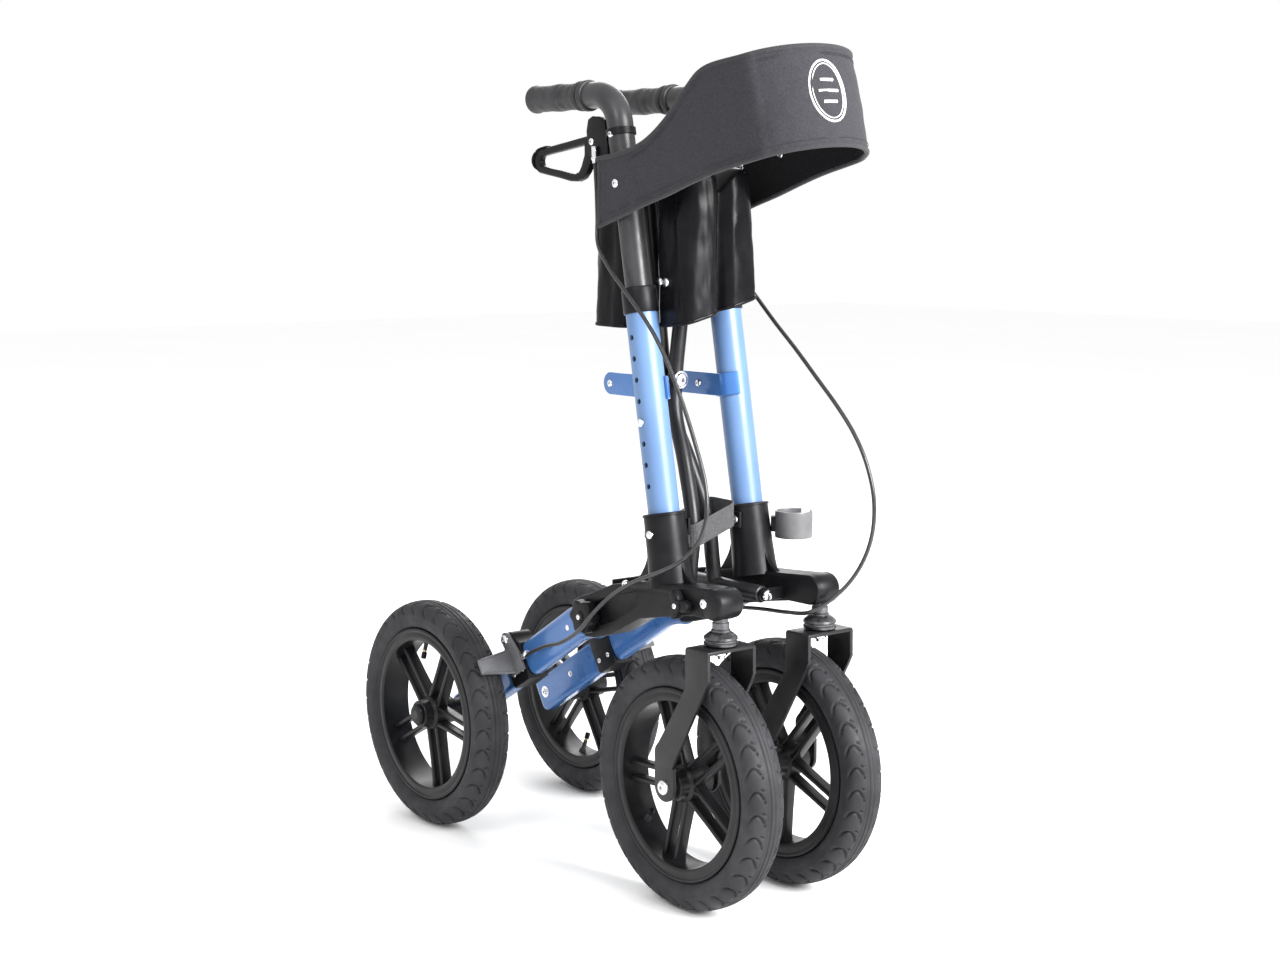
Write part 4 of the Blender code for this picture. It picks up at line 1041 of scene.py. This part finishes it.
HOLE_PITCH = 0.0254
PIN_Z = 0.573
BRACKET_Z = 0.611
BRACKET_REAR = 0.272
BORE = HANDLE_RADIUS + 0.0004


def make_post(label, side):
    bottom, length = post_point(side, 0.397), (0.7275 - 0.397) / cos(LEAN)
    ring = [(0.0165, length)] + [(POST_RADIUS, length * i / 24) for i in range(24, -1, -1)] + [(0.0165, 0)]
    # The post's paler blue is painted reflection over the legs' blue paint.
    post = revolve(ring, bottom, POST_AXIS, "post", 72, ring=True)
    holes = []
    for i in range(-3, 5):
        spot = aside(post_point(side, PIN_Z + i * HOLE_PITCH * cos(LEAN)), side * 0.015)
        holes.append(rod(0.0034, 0.01, -0.006, spot, side, "post"))
    post = combine(post, holes, "DIFFERENCE", 50)
    post.modifiers.new("normals", "WEIGHTED_NORMAL").keep_sharp = True
    ride(label, "post_tube", post, "frame", "blue_paint", "post")
    low, high = 0.701, 0.7315
    span_up, wall = (high - low) / cos(LEAN), POST_RADIUS + 0.0003
    ring = [(BORE, span_up), (0.0192, span_up), (0.0208, span_up - 0.001), (0.0213, span_up - 0.003)]
    ring += [(0.0215, 0.0016), (0.0209, 0.0), (wall, 0.0), (wall, span_up - 0.003), (BORE, span_up - 0.003)]
    collar = revolve(ring, post_point(side, low), POST_AXIS, "plastic", 64, ring=True)
    ride(label, "post_top_collar", collar, "frame", "black_plastic", "post_collar")
    pin = [(0, 0.0043), (0.002, 0.0043), (0.003, 0.0036), (0.0049, 0.002), (0.0049, 0.0003), (0.003, 0.0003)]
    pin = [(r, POST_RADIUS + h) for r, h in pin] + [(0.003, 0.0167), (0, 0.0167)]
    button = revolve(pin, post_point(side, PIN_Z), side, "steel", 28)
    ride(label, "height_button", button, "pin", "steel", "height_pin")


def make_post_bracket(label, side):
    half, thick, wall = 0.0138, 0.0036, POST_RADIUS + 0.0003
    inner_y, centre = POST_Y - wall - thick / 2, post_ahead(BRACKET_Z)
    outline = arc((BRACKET_REAR + half, BRACKET_Z), half, 90, 270, 20)
    outline += [(centre + 0.004, BRACKET_Z - half), (centre, BRACKET_Z + half)]
    tab = plate(outline, thick, side * inner_y, "blue", 0.0008)
    rim, soft = wall + thick, 0.0008
    ring = mirrored([(wall, half - soft), (wall + soft, half), (rim - soft, half), (rim, half - soft)])
    clamp = revolve(ring, post_point(side, BRACKET_Z), POST_AXIS, "blue", 64, ring=True)
    near, far = sorted((side * (POST_Y - 0.009), side * (POST_Y + 0.04)))
    low, high = at(centre - 0.04, near, BRACKET_Z - 0.03), at(centre + 0.04, far, BRACKET_Z + 0.03)
    bracket = combine(combine(tab, [clamp]), [box(low, high, "blue", 0.0002)], "DIFFERENCE")
    ride(label, "bracket_plate", bracket, "frame", "blue_paint", "post_bracket")
    screws = []
    for ahead, where, radius in ((0.286, -1, 0.0052), (0.286, 1, 0.0046), (0.349, -1, 0.0046)):
        spot = at(ahead, side * (inner_y + where * (thick / 2 - 0.0002)), BRACKET_Z)
        screws.append(bolt(spot, side * where, radius, 0.0032))
    ride(label, "bracket_screws", join(screws), "frame", "steel")


def handle_route(side):
    """Up the post, round the bend and rearward to the end of the grip."""
    turn, bend, low_z = pi / 2 - LEAN, 0.045, 0.5
    reach = bend * tan(turn / 2)
    start = Vector((post_ahead(GRIP_Z), GRIP_Z)) - reach * Vector((-sin(LEAN), cos(LEAN)))
    centre = start + bend * Vector((-cos(LEAN), -sin(LEAN)))
    low = post_ahead(low_z)
    chain = [(low + (start.x - low) * i / 8, low_z + (start.y - low_z) * i / 8) for i in range(8)]
    for i in range(25):
        angle = LEAN + turn * i / 24
        chain.append((centre.x + bend * cos(angle), centre.y + bend * sin(angle)))
    chain.append((0.2622, GRIP_Z))
    return [at(a, side * POST_Y, z) for a, z in chain]


def make_handle(label, side):
    # The handle tube's lighter black is a painted highlight on the black paint.
    tube = sweep(handle_route(side), circle(HANDLE_RADIUS, 56), "satin", angle=50)
    ride(label, "handle_bar", tube, "handle", "black_paint", "handle_tube")
    grip_at, long = at(0.158, side * POST_Y, GRIP_Z), 0.1035
    ring = [(0.0161, 0.116), (0.0182, 0.1155), (0.019, 0.114), (0.019, 0.1085), (0.018, 0.107)]
    ring.append((0.0161, 0.1066))
    profile = [(0, long), (0.0162, long), (0.0178, long - 0.0015), (0.0184, long - 0.0045)]
    profile += [(0.0178, long - 0.0085), (0.0164, long - 0.0115)]
    for i in range(33):
        wave = 0.0004 * cos(2 * pi * i / 16) + 0.001 * sin(pi * i / 32)
        groove = 0.0006 if i in (6, 7, 12, 13) else 0.0
        profile.append((0.0156 + wave - groove, long - 0.013 - (long - 0.03) * i / 32))
    profile += [(0.0158, 0.0145), (0.0166, 0.0085), (0.0174, 0.0045), (0.0172, 0.0018), (0.0155, 0.0003)]
    grip = revolve(profile + [(0.009, 0), (0, 0)], grip_at, FORWARD, "rubber", 56, angle=50)
    stop = revolve(ring, grip_at, FORWARD, "rubber", 56, ring=True)
    ride(label, "grip_detail", join([grip, stop]), "handle", "grip", "grip")
    spot, reach = post_point(side, 0.913), HANDLE_RADIUS - 0.0004
    screws = [bolt(aside(spot, where * reach), where, 0.0046, 0.0028) for where in BOTH]
    ride(label, "handle_screws", join(screws), "handle", "steel")


def lever_loops():
    outer = [(0.2965, 0.916), (0.285, 0.9145), (0.262, 0.9115), (0.23, 0.907), (0.2, 0.903), (0.182, 0.9005)]
    outer += arc((0.177, 0.8845), 0.0158, 84, 250, 12)
    outer += [(0.19, 0.8665), (0.215, 0.8625), (0.236, 0.8585), (0.251, 0.858), (0.262, 0.8615)]
    outer += [(0.27, 0.869), (0.277, 0.88), (0.283, 0.8895), (0.2965, 0.8965)]
    inner = [(0.266, 0.902), (0.255, 0.9008), (0.228, 0.8972), (0.2, 0.8938), (0.183, 0.8915)]
    inner += arc((0.1787, 0.8845), 0.0064, 84, 250, 8)
    inner += [(0.195, 0.8752), (0.216, 0.8722), (0.236, 0.8685), (0.247, 0.8676), (0.255, 0.8702)]
    inner += [(0.26, 0.877), (0.266, 0.89)]
    return outer, inner


def make_lever(label, side):
    y = side * POST_Y
    outer, inner = lever_loops()
    loop = plate(outer, 0.0115, y, "plastic", 0.003, holes=(inner,), rounds=4, angle=55)
    pad = [(0.184, 0.902), (0.172, 0.899), (0.163, 0.892), (0.1605, 0.884), (0.164, 0.877), (0.172, 0.8725)]
    route = smooth_chain([at(a, y, z) for a, z in pad], 5)
    sizes = [0.7 + 0.3 * sin(pi * i / 25) for i in range(26)]
    blade = sweep(route, oval(0.0085, 0.0018, 20, 3.0), "plastic", up=(0.8, 0, 0.6), sizes=sizes)
    ride(label, "lever_loop", join([loop, blade]), "lever", "black_plastic", "brake_lever")
    outline = [(0.2805, 0.8945), (0.286, 0.884), (0.3, 0.874), (0.314, 0.8745), (0.3225, 0.878)]
    outline += [(0.314, 0.93), (0.303, 0.9345), (0.289, 0.9355), (0.281, 0.932), (0.2775, 0.918)]
    bracket = plate(outline, 0.022, y, "plastic", 0.0022)
    slot = box(at(0.27, y - 0.0062, 0.86), at(0.3005, y + 0.0062, 0.94), "plastic", 0.0005)
    seat = rod(BORE, 0.05, -0.05, post_point(side, 0.9), POST_AXIS, "plastic", 56)
    parts = [combine(bracket, [slot, seat], "DIFFERENCE")]
    wall = HANDLE_RADIUS + 0.0003
    ring = mirrored([(wall, 0.0045), (wall + 0.0018, 0.004)])
    for z in (0.883, 0.915):
        parts.append(revolve(ring, post_point(side, z), POST_AXIS, "plastic", 56, ring=True))
    ride(label, "lever_mount", join(parts), "handle", "black_plastic", "brake_bracket")
    pivot = at(0.29, y, 0.905)
    parts = [rod(0.0029, 0.012, -0.012, pivot, 1, "steel", 20)]
    parts += [bolt(aside(pivot, where * 0.0112), where, 0.0044, 0.0026) for where in BOTH]
    direction = Vector((0.08, 0.0, -1.0)).normalized()
    barrel = [(0, -0.01), (0.0036, -0.01), (0.0036, 0.002), (0.0044, 0.0026), (0.0044, 0.006)]
    barrel += [(0.0033, 0.0066), (0.0033, 0.01), (0, 0.01)]
    barrel_at = at(0.301, side * 0.081, 0.885) - direction * 0.004
    parts.append(revolve(barrel, barrel_at, direction, "steel", 24))
    ride(label, "lever_pin_detail", join(parts), "handle", "steel", "lever_pin")


# Cross brace.

CENTRE_AHEAD = 0.345
CENTRE_Z = 0.618
RAIL_Z = 0.862
BRACE_OFFSET = 0.0104


def make_brace(label, side):
    route = []
    for ahead, z in (
        (0.407, PIVOT_Z), (0.407, 0.4), (0.404, 0.45), (0.378, 0.52), (0.352, 0.575),
        (CENTRE_AHEAD, CENTRE_Z), (CENTRE_AHEAD, 0.7), (CENTRE_AHEAD, RAIL_Z),
    ):
        y = side * PIVOT_Y * (CENTRE_Z - z) / (CENTRE_Z - PIVOT_Z)
        route.append(at(ahead - side * BRACE_OFFSET, y, z))
    bar = sweep(smooth_chain(route, 8), circle(0.0094, 40), "paint", angle=50)
    sleeves = []
    for y, z, start, end, radius in (
        (side * PIVOT_Y, PIVOT_Z, 0.3302, 0.4838, 0.0105),
        (route[-1].y, RAIL_Z, 0.2622, 0.4398, 0.0099),
    ):
        half = (end - start) / 2
        profile = mirrored([(0, half), (radius - 0.0012, half), (radius, half - 0.0012)])
        sleeves.append(revolve(profile, at((start + end) / 2, y, z), FORWARD, "paint", 40))
    bore = rod(0.0042, 0.06, -0.06, at(CENTRE_AHEAD, 0, CENTRE_Z), FORWARD, "paint")
    brace = combine(combine(bar, sleeves), [bore], "DIFFERENCE", 50)
    ride(label, "brace_tube", brace, "cross_brace", "black_paint", "brace")


def make_centre_bolt():
    half = BRACE_OFFSET + 0.0095 + 0.0005
    hub, seat = at(CENTRE_AHEAD, 0, CENTRE_Z), half + 0.0002
    washer = [(0.0042, seat), (0.0108, seat), (0.0108, half + 0.0016), (0.0042, half + 0.0016)]
    nut = [(0, half + 0.006), (0.005, half + 0.006), (0.0082, half + 0.005, 1.0), (0.0082, seat, 1.0)]
    nut.append((0, seat))
    parts = [
        rod(0.0039, half, -half, hub, FORWARD, "steel"),
        bolt(hub + Vector((half + 0.0014, 0, 0)), FORWARD, 0.009, 0.0046),
        revolve(washer, hub, FORWARD, "steel", 36, ring=True),
        revolve(nut, hub, (-1, 0, 0), "steel", 36),
    ]
    settle("centre_bolt_detail", join(parts), "right_cross_brace", "steel", "centre_bolt")


# Backrest strap.

STRAP_BEND = 0.08
STRAP_FRONT = 0.6475
STRAP_TILT = 0.035
STRAP_THICK = 0.0062
EMBLEM_UP = 0.54
EMBLEM_ASIDE = 0.01


def strap_rows(pieces):
    """Bottom and top points of the strap from the right end round the front to the left end."""
    centre = STRAP_FRONT - STRAP_BEND
    half = [  # ahead below, ahead above, sideways, bottom and top
        (0.3155, 0.3155, 0.0865, 0.8025, 0.884),
        (0.362, 0.362, 0.0865, 0.816, 0.8895),
        (0.405, 0.405, 0.086, 0.829, 0.902),
        (0.445, 0.443, 0.085, 0.84, 0.926),
        (0.49, 0.478, 0.084, 0.854, 0.959),
        (0.53, 0.508, 0.0825, 0.865, 0.98),
    ]
    for i in range(1, 7):
        angle = radians(90 * i / 6)
        low_ahead = centre + STRAP_BEND * sin(angle)
        high_ahead = low_ahead - STRAP_TILT * (0.6 + 0.4 * sin(angle))
        low, high = 0.872 + 0.02 * sin(angle), 0.985 + 0.0165 * sin(angle)
        half.append((low_ahead, high_ahead, STRAP_BEND * cos(angle), low, high))
    low = [at(a, -y, z) for a, _, y, z, _ in half] + [at(a, y, z) for a, _, y, z, _ in half[-2::-1]]
    high = [at(a, -y, z) for _, a, y, _, z in half] + [at(a, y, z) for _, a, y, _, z in half[-2::-1]]
    return smooth_chain(low, pieces), smooth_chain(high, pieces)


def strap_frames(pieces=10):
    """(bottom, top, outward) at each step along the strap."""
    low, high = strap_rows(pieces)
    frames = []
    for i, (a, b) in enumerate(zip(low, high)):
        ahead = (low[min(i + 1, len(low) - 1)] - low[max(i - 1, 0)]).normalized()
        up = (b - a).normalized()
        frames.append((a, b, up.cross(ahead).normalized() * -1))
    return frames


def strap_pad(frames):
    rows_up, length = 26, len(frames)
    verts = []
    for i, (low, high, out) in enumerate(frames):
        end = min(i, length - 1 - i)
        for face in (1, -1):
            for k in range(rows_up):
                t = k / (rows_up - 1) if face == 1 else 1 - k / (rows_up - 1)
                edge = min(t, 1 - t) * (high - low).length
                swell = 0.55 + 0.45 * min(1.0, edge / 0.012) ** 0.5
                swell *= 0.75 + 0.25 * min(1.0, end / 5)
                seam = 0.0007 * max(0.0, 1 - abs(edge - 0.0115) / 0.0013)
                spot = low + (high - low) * t
                fold = 0.0016 * noise.noise(spot * 22) + 0.0007 * noise.noise(spot * 70)
                verts.append(spot + out * (face * (STRAP_THICK / 2 * swell - seam) + fold))
    n = 2 * rows_up
    strap = piece(verts, quads(length, n) + ends(length, n), "fabric", 60)
    strap.data.materials.append(LOOKS["inside"])
    for polygon in strap.data.polygons:
        if polygon.index < (length - 1) * n and polygon.index % n >= rows_up:
            polygon.material_index = 1
    return strap


def strap_binding(frames):
    parts = []
    section = oval(0.0042, 0.0034, 16, 2.4)
    top = [high + Vector((0, 0, -0.0006)) for _, high, _ in frames]
    bottom = [low + Vector((0, 0, 0.001)) for low, _, _ in frames]
    for route, size in ((top, 1.0), (bottom, 0.72)):
        parts.append(sweep(route, section, "binding", up=UP, sizes=[size] * len(frames)))
    for low, high, out in (frames[1], frames[-2]):
        edge = [low + (high - low) * t for t in (0.02, 0.25, 0.5, 0.75, 0.98)]
        parts.append(sweep(edge, oval(0.0026, 0.0042, 14), "binding", up=out))
    return join(parts)


def strap_stitching(frames):
    """Two rows of stitches along the lower edge and one along the upper."""
    parts = []
    for share, both in ((0.0085, True), (0.0105, False)):
        for (low, high, out), (next_low, next_high, next_out) in zip(frames[3:-4], frames[4:-3]):
            up = (high - low).normalized()
            for a, b, sign in ((low, next_low, 1), (high, next_high, -1)):
                if sign == 1 and not both:
                    continue
                p = a + up * sign * share + out * (STRAP_THICK / 2 * 0.96)
                q = b + up * sign * share + next_out * (STRAP_THICK / 2 * 0.96)
                for s in (0.0, 0.5):
                    ends_at = [p.lerp(q, s + 0.08), p.lerp(q, s + 0.4)]
                    parts.append(sweep(ends_at, circle(0.00035, 6), "binding"))
    return join(parts)


def strap_screws(frames):
    screws = []
    for low, high, out in (frames[8], frames[-9]):
        screws.append(bolt(low + (high - low) * 0.55 + out * 0.003, out, 0.0054, 0.0034))
    for index, share in ((-15, 0.75), (-33, 0.52)):
        low, high, out = frames[index]
        screws.append(rivet(low + (high - low) * share - out * 0.0026, -out, 0.0052, 0.0024))
    return join(screws)


def strap_emblem(frames):
    """A plain embroidered ring round three bars, with no lettering."""
    middles = [low.lerp(high, EMBLEM_UP) for low, high, _ in frames]
    run = np.cumsum([0.0] + [(b - a).length for a, b in zip(middles, middles[1:])])
    centre = run[len(frames) // 2] - EMBLEM_ASIDE

    def on_strap(du, dv):
        step = float(np.interp(centre + du, run, range(len(frames))))
        i = int(step)
        low, high, out = (frames[i][k].lerp(frames[i + 1][k], step - i) for k in range(3))
        return low.lerp(high, EMBLEM_UP + dv / (high - low).length) + out * 0.0031

    parts = []
    for half_u, half_v, wide in ((0.0225, 0.035, 0.0013), (0.019, 0.0312, 0.0007)):
        route = [on_strap(half_u * c, half_v * s) for c, s in circle(1, 72)]
        parts.append(sweep(route, circle(wide, 8), "thread", closed=True))
    for dv, wide in ((-0.0125, 0.0085), (0.0, 0.0125), (0.0125, 0.0085)):
        route = [on_strap(-wide + 2 * wide * i / 12, dv) for i in range(13)]
        parts.append(sweep(route, oval(0.0012, 0.0018, 8), "thread"))
    return join(parts)


def make_strap():
    frames = strap_frames()
    strap = strap_pad(frames)
    where = ("right_handle", "left_handle", at(0.6, -0.07, 0.9), at(0.6, 0.07, 0.9))
    span("backrest_strap_pad", strap, "strap_fabric", *where, "backrest_strap")
    span("backrest_strap_binding", strap_binding(frames), "strap_fabric", *where)
    span("backrest_strap_stitching", strap_stitching(frames), "strap_fabric", *where)
    span("backrest_strap_screws", strap_screws(frames), "steel", *where)
    span("backrest_strap_emblem", strap_emblem(frames), "strap_fabric", *where)


# Folded seat.

FRONT_TOP = (
    (0.372, -0.04), (0.376, -0.043), (0.402, -0.0445), (0.43, -0.044), (0.4405, -0.03),
    (0.4435, -0.012), (0.434, 0.0), (0.4435, 0.014), (0.443, 0.036), (0.434, 0.043),
    (0.402, 0.044), (0.376, 0.042), (0.3685, 0.015), (0.368, -0.02),
)
FRONT_BOTTOM = (
    (0.3865, -0.0465), (0.3885, -0.0495), (0.414, -0.051), (0.4385, -0.048), (0.4455, -0.03),
    (0.447, -0.013), (0.431, 0.0), (0.4475, 0.014), (0.449, 0.043), (0.44, 0.052),
    (0.41, 0.051), (0.3905, 0.046), (0.387, 0.015), (0.386, -0.02),
)
REAR_TOP = (
    (0.262, -0.041), (0.29, -0.043), (0.314, -0.041), (0.318, -0.012), (0.318, 0.012), (0.314, 0.041),
    (0.29, 0.043), (0.262, 0.041), (0.259, 0.012), (0.259, -0.012),
)
REAR_BOTTOM = (
    (0.257, -0.046), (0.286, -0.05), (0.312, -0.046), (0.318, -0.014), (0.318, 0.014), (0.312, 0.046),
    (0.286, 0.05), (0.257, 0.046), (0.262, 0.012), (0.262, -0.012),
)


def lobe_top(y):
    """Height of the vinyl over the two rails, with the fold that hangs between them."""
    return 0.8705 - 0.024 * 2.718 ** (-((y / 0.012) ** 2)) - 0.004 * (abs(y) / 0.046) ** 6


def lobe(plan_top, plan_bottom, z_bottom, folds):
    """Vinyl over the rails that hangs as a pouch: it widens downward and is open below."""
    rows, caps, verts = 22, 8, []
    top, bottom = smooth_chain(plan_top, 7, True), smooth_chain(plan_bottom, 7, True)
    n = len(top)
    middle_top = sum(top, Vector((0, 0))) / n
    for r in range(caps):
        share = 0.04 + 0.96 * (r / caps) ** 0.8
        for p in top:
            inner = middle_top.lerp(p, share)
            verts.append(at(inner.x, inner.y, lobe_top(inner.y) + 0.004 * (1 - share**4)))
    for r in range(rows + 1):
        t = r / rows
        for k in range(n):
            p = top[k].lerp(bottom[k], t**0.8)
            start, end = lobe_top(top[k].y), z_bottom(p.x, p.y)
            away = Vector((p.x - middle_top.x, p.y, 0)).normalized()
            wave = folds * sin(pi * min(1.0, t * 1.4)) * noise.noise(Vector((p.x * 60, p.y * 60, t * 1.6)))
            wave += 0.001 * noise.noise(Vector((p.x * 160, p.y * 160, t * 9)))
            verts.append(at(p.x, p.y, start + (end - start) * t) + away * wave)
    made = piece(verts, quads(caps + rows + 1, n) + [tuple(range(n))], "vinyl", 70)
    made.data.materials.append(LOOKS["lining"])
    thicken = made.modifiers.new("thickness", "SOLIDIFY")
    thicken.thickness = 0.0012
    thicken.offset = -1.0
    thicken.material_offset = 1
    thicken.material_offset_rim = 0
    made = solid(made, None, 70)
    hem = [Vector(v) + Vector((0, 0, 0.0012)) for v in verts[-n:]]
    return made, sweep(hem, oval(0.0014, 0.0022, 10), "vinyl", closed=True, up=UP)


def make_seat():
    where = ("left_cross_brace", "right_cross_brace", at(0.4, -0.02, 0.7), at(0.4, 0.02, 0.7))
    for node, *shape in (
        (
            "seat_front", FRONT_TOP, FRONT_BOTTOM,
            lambda a, y: 0.686 + 0.28 * (y + 0.05) + 0.1 * max(0.0, a - 0.4), 0.003,
        ),
        ("seat_rear", REAR_TOP, REAR_BOTTOM, lambda a, y: 0.6815 + 0.02 * (0.3 - a), 0.005),
    ):
        made, edge = lobe(*shape)
        span(f"{node}_vinyl", made, "seat_vinyl", *where, node)
        span(f"{node}_vinyl_edge", edge, "seat_vinyl", *where)
    snaps = [
        rivet(at(0.386, -0.049, 0.7385), (-0.35, -1, 0), 0.0056, 0.003),
        rivet(at(0.399, -0.05, 0.738), (-0.1, -1, 0), 0.0056, 0.003),
    ]
    settle("seat_snaps", join(snaps), "left_cross_brace", "steel")


# Cables, straps and holder.

RIGHT_CABLE = (
    (0.301, -0.081, 0.885), (0.304, -0.081, 0.85), (0.307, -0.082, 0.815), (0.316, -0.088, 0.783),
    (0.345, -0.096, 0.758), (0.385, -0.1, 0.728), (0.424, -0.098, 0.692), (0.451, -0.094, 0.655),
    (0.477, -0.09, 0.605), (0.499, -0.089, 0.56), (0.519, -0.09, 0.515), (0.527, -0.094, 0.48),
    (0.522, -0.1, 0.45), (0.5, -0.106, 0.425), (0.46, -0.1085, 0.405), (0.415, -0.1085, 0.388),
    (0.375, -0.11, 0.367), (0.342, -0.115, 0.34), (0.312, -0.117, 0.312), (0.262, -0.106, 0.288),
    (0.215, -0.097, 0.274), (0.18, -0.0925, 0.26), (0.1545, -0.0898, 0.248),
)
LEFT_CABLE = (
    (0.301, 0.081, 0.885), (0.304, 0.081, 0.85), (0.307, 0.082, 0.815), (0.316, 0.088, 0.785),
    (0.345, 0.096, 0.757), (0.381, 0.1, 0.726), (0.423, 0.1015, 0.688), (0.461, 0.102, 0.6565),
    (0.497, 0.103, 0.624), (0.531, 0.105, 0.592), (0.5575, 0.107, 0.562), (0.577, 0.1085, 0.53),
    (0.589, 0.11, 0.492), (0.59, 0.11, 0.454), (0.582, 0.107, 0.42), (0.572, 0.094, 0.39),
    (0.56, 0.074, 0.367), (0.545, 0.051, 0.351), (0.51, 0.048, 0.346), (0.465, 0.048, 0.343),
    (0.415, 0.048, 0.338), (0.36, 0.048, 0.332), (0.3, 0.0495, 0.322), (0.262, 0.05, 0.318),
    (0.238, 0.056, 0.329), (0.216, 0.07, 0.331), (0.197, 0.084, 0.314), (0.18, 0.0905, 0.288),
    (0.166, 0.0915, 0.264), (0.1545, 0.0898, 0.248),
)


def make_cables():
    for label, route in (("right", RIGHT_CABLE), ("left", LEFT_CABLE)):
        chain = smooth_chain([at(*p) for p in route], 6)
        cable = sweep(chain, circle(0.0025, 16), "cable", angle=60)
        cable.name = f"{label}_cable_sheath"
        where = (f"{label}_handle", f"{label}_frame", at(0.36, 0, 0.86), at(0.45, 0, 0.44))
        span(cable.name, cable, "cable", *where, f"{label}_brake_cable")


def make_cane_holder():
    centre = at(0.4576, POST_Y + 0.039, 0.4416)
    outer, inner = 0.023, 0.0206
    mean = (outer + inner) / 2
    route = [centre + Vector((*spot, 0)) for spot in arc((0, 0), mean, 112, 428, 60)]
    section = oval((outer - inner) / 2 + 0.0002, 0.0165, 28, 5.0)
    ring = sweep(route, section, "grey", up=UP, angle=50)
    post = post_point(1, 0.4416)
    outward_from = (centre - post).normalized()
    across = Vector((-outward_from.y, outward_from.x, 0)) * 0.0065
    corners = [
        spot + a * across + b * Vector((0, 0, 0.0095))
        for spot in (post + outward_from * 0.0262, centre - outward_from * (mean - 0.0008))
        for a, b in ((-1, -1), (1, -1), (1, 1), (-1, 1))
    ]
    screw = bolt(centre - outward_from * (inner - 0.0004), outward_from, 0.0044, 0.0024)
    parts = [ring, hull(corners, "plastic", 0.001), screw]
    settle("cane_holder_clip", join(parts), "left_frame", "black_plastic", "cane_holder")


def make_fold_strap():
    """Webbing band buckled round both brace tubes."""
    centre, reach_x, reach_y, corner = at(0.4035, 0, 0.447), 0.0285, 0.035, 0.012
    outline = []
    for cx, cy, start in ((1, 1, 0), (-1, 1, 90), (-1, -1, 180), (1, -1, 270)):
        middle_at = (cx * (reach_x - corner), cy * (reach_y - corner))
        for x, y in arc(middle_at, corner, start, start + 90, 8):
            rise = 0.35 * y + 0.0008 * noise.noise(Vector((x * 90, y * 90, 0)))
            outline.append(centre + Vector((x, y, rise)))
    band = sweep(outline, oval(0.001, 0.0138, 22, 6.0), "webbing", closed=True, up=UP, angle=50)
    lap = [p + (p - centre).normalized() * 0.0018 for p in outline[20:30]]
    over = sweep(lap, oval(0.0008, 0.0132, 18, 6.0), "webbing", up=UP)
    tail = [outline[20] + Vector((-0.0015 - 0.002 * i, 0, 0.004 * i)) for i in range(5)]
    loose = sweep(tail, oval(0.0128, 0.0008, 18, 6.0), "webbing", up=(1, 0, 0.2))
    where = ("left_cross_brace", "right_cross_brace", at(0.4, 0.02, 0.447), at(0.4, -0.02, 0.447))
    span("fold_strap_webbing", band, "webbing", *where, "fold_strap")
    span("fold_strap_lap", join([over, loose]), "webbing", *where)


# Whole model.

LOOKS = make_looks()
set_stage()
make_wheels()
for label, side in SIDES:
    for make in (
        make_caster, make_casting, make_knobs, make_legs, make_brake,
        make_post, make_post_bracket, make_handle, make_lever, make_brace,
    ):
        make(label, side)
make_centre_bolt()
make_strap()
make_seat()
make_cables()
make_cane_holder()
make_fold_strap()
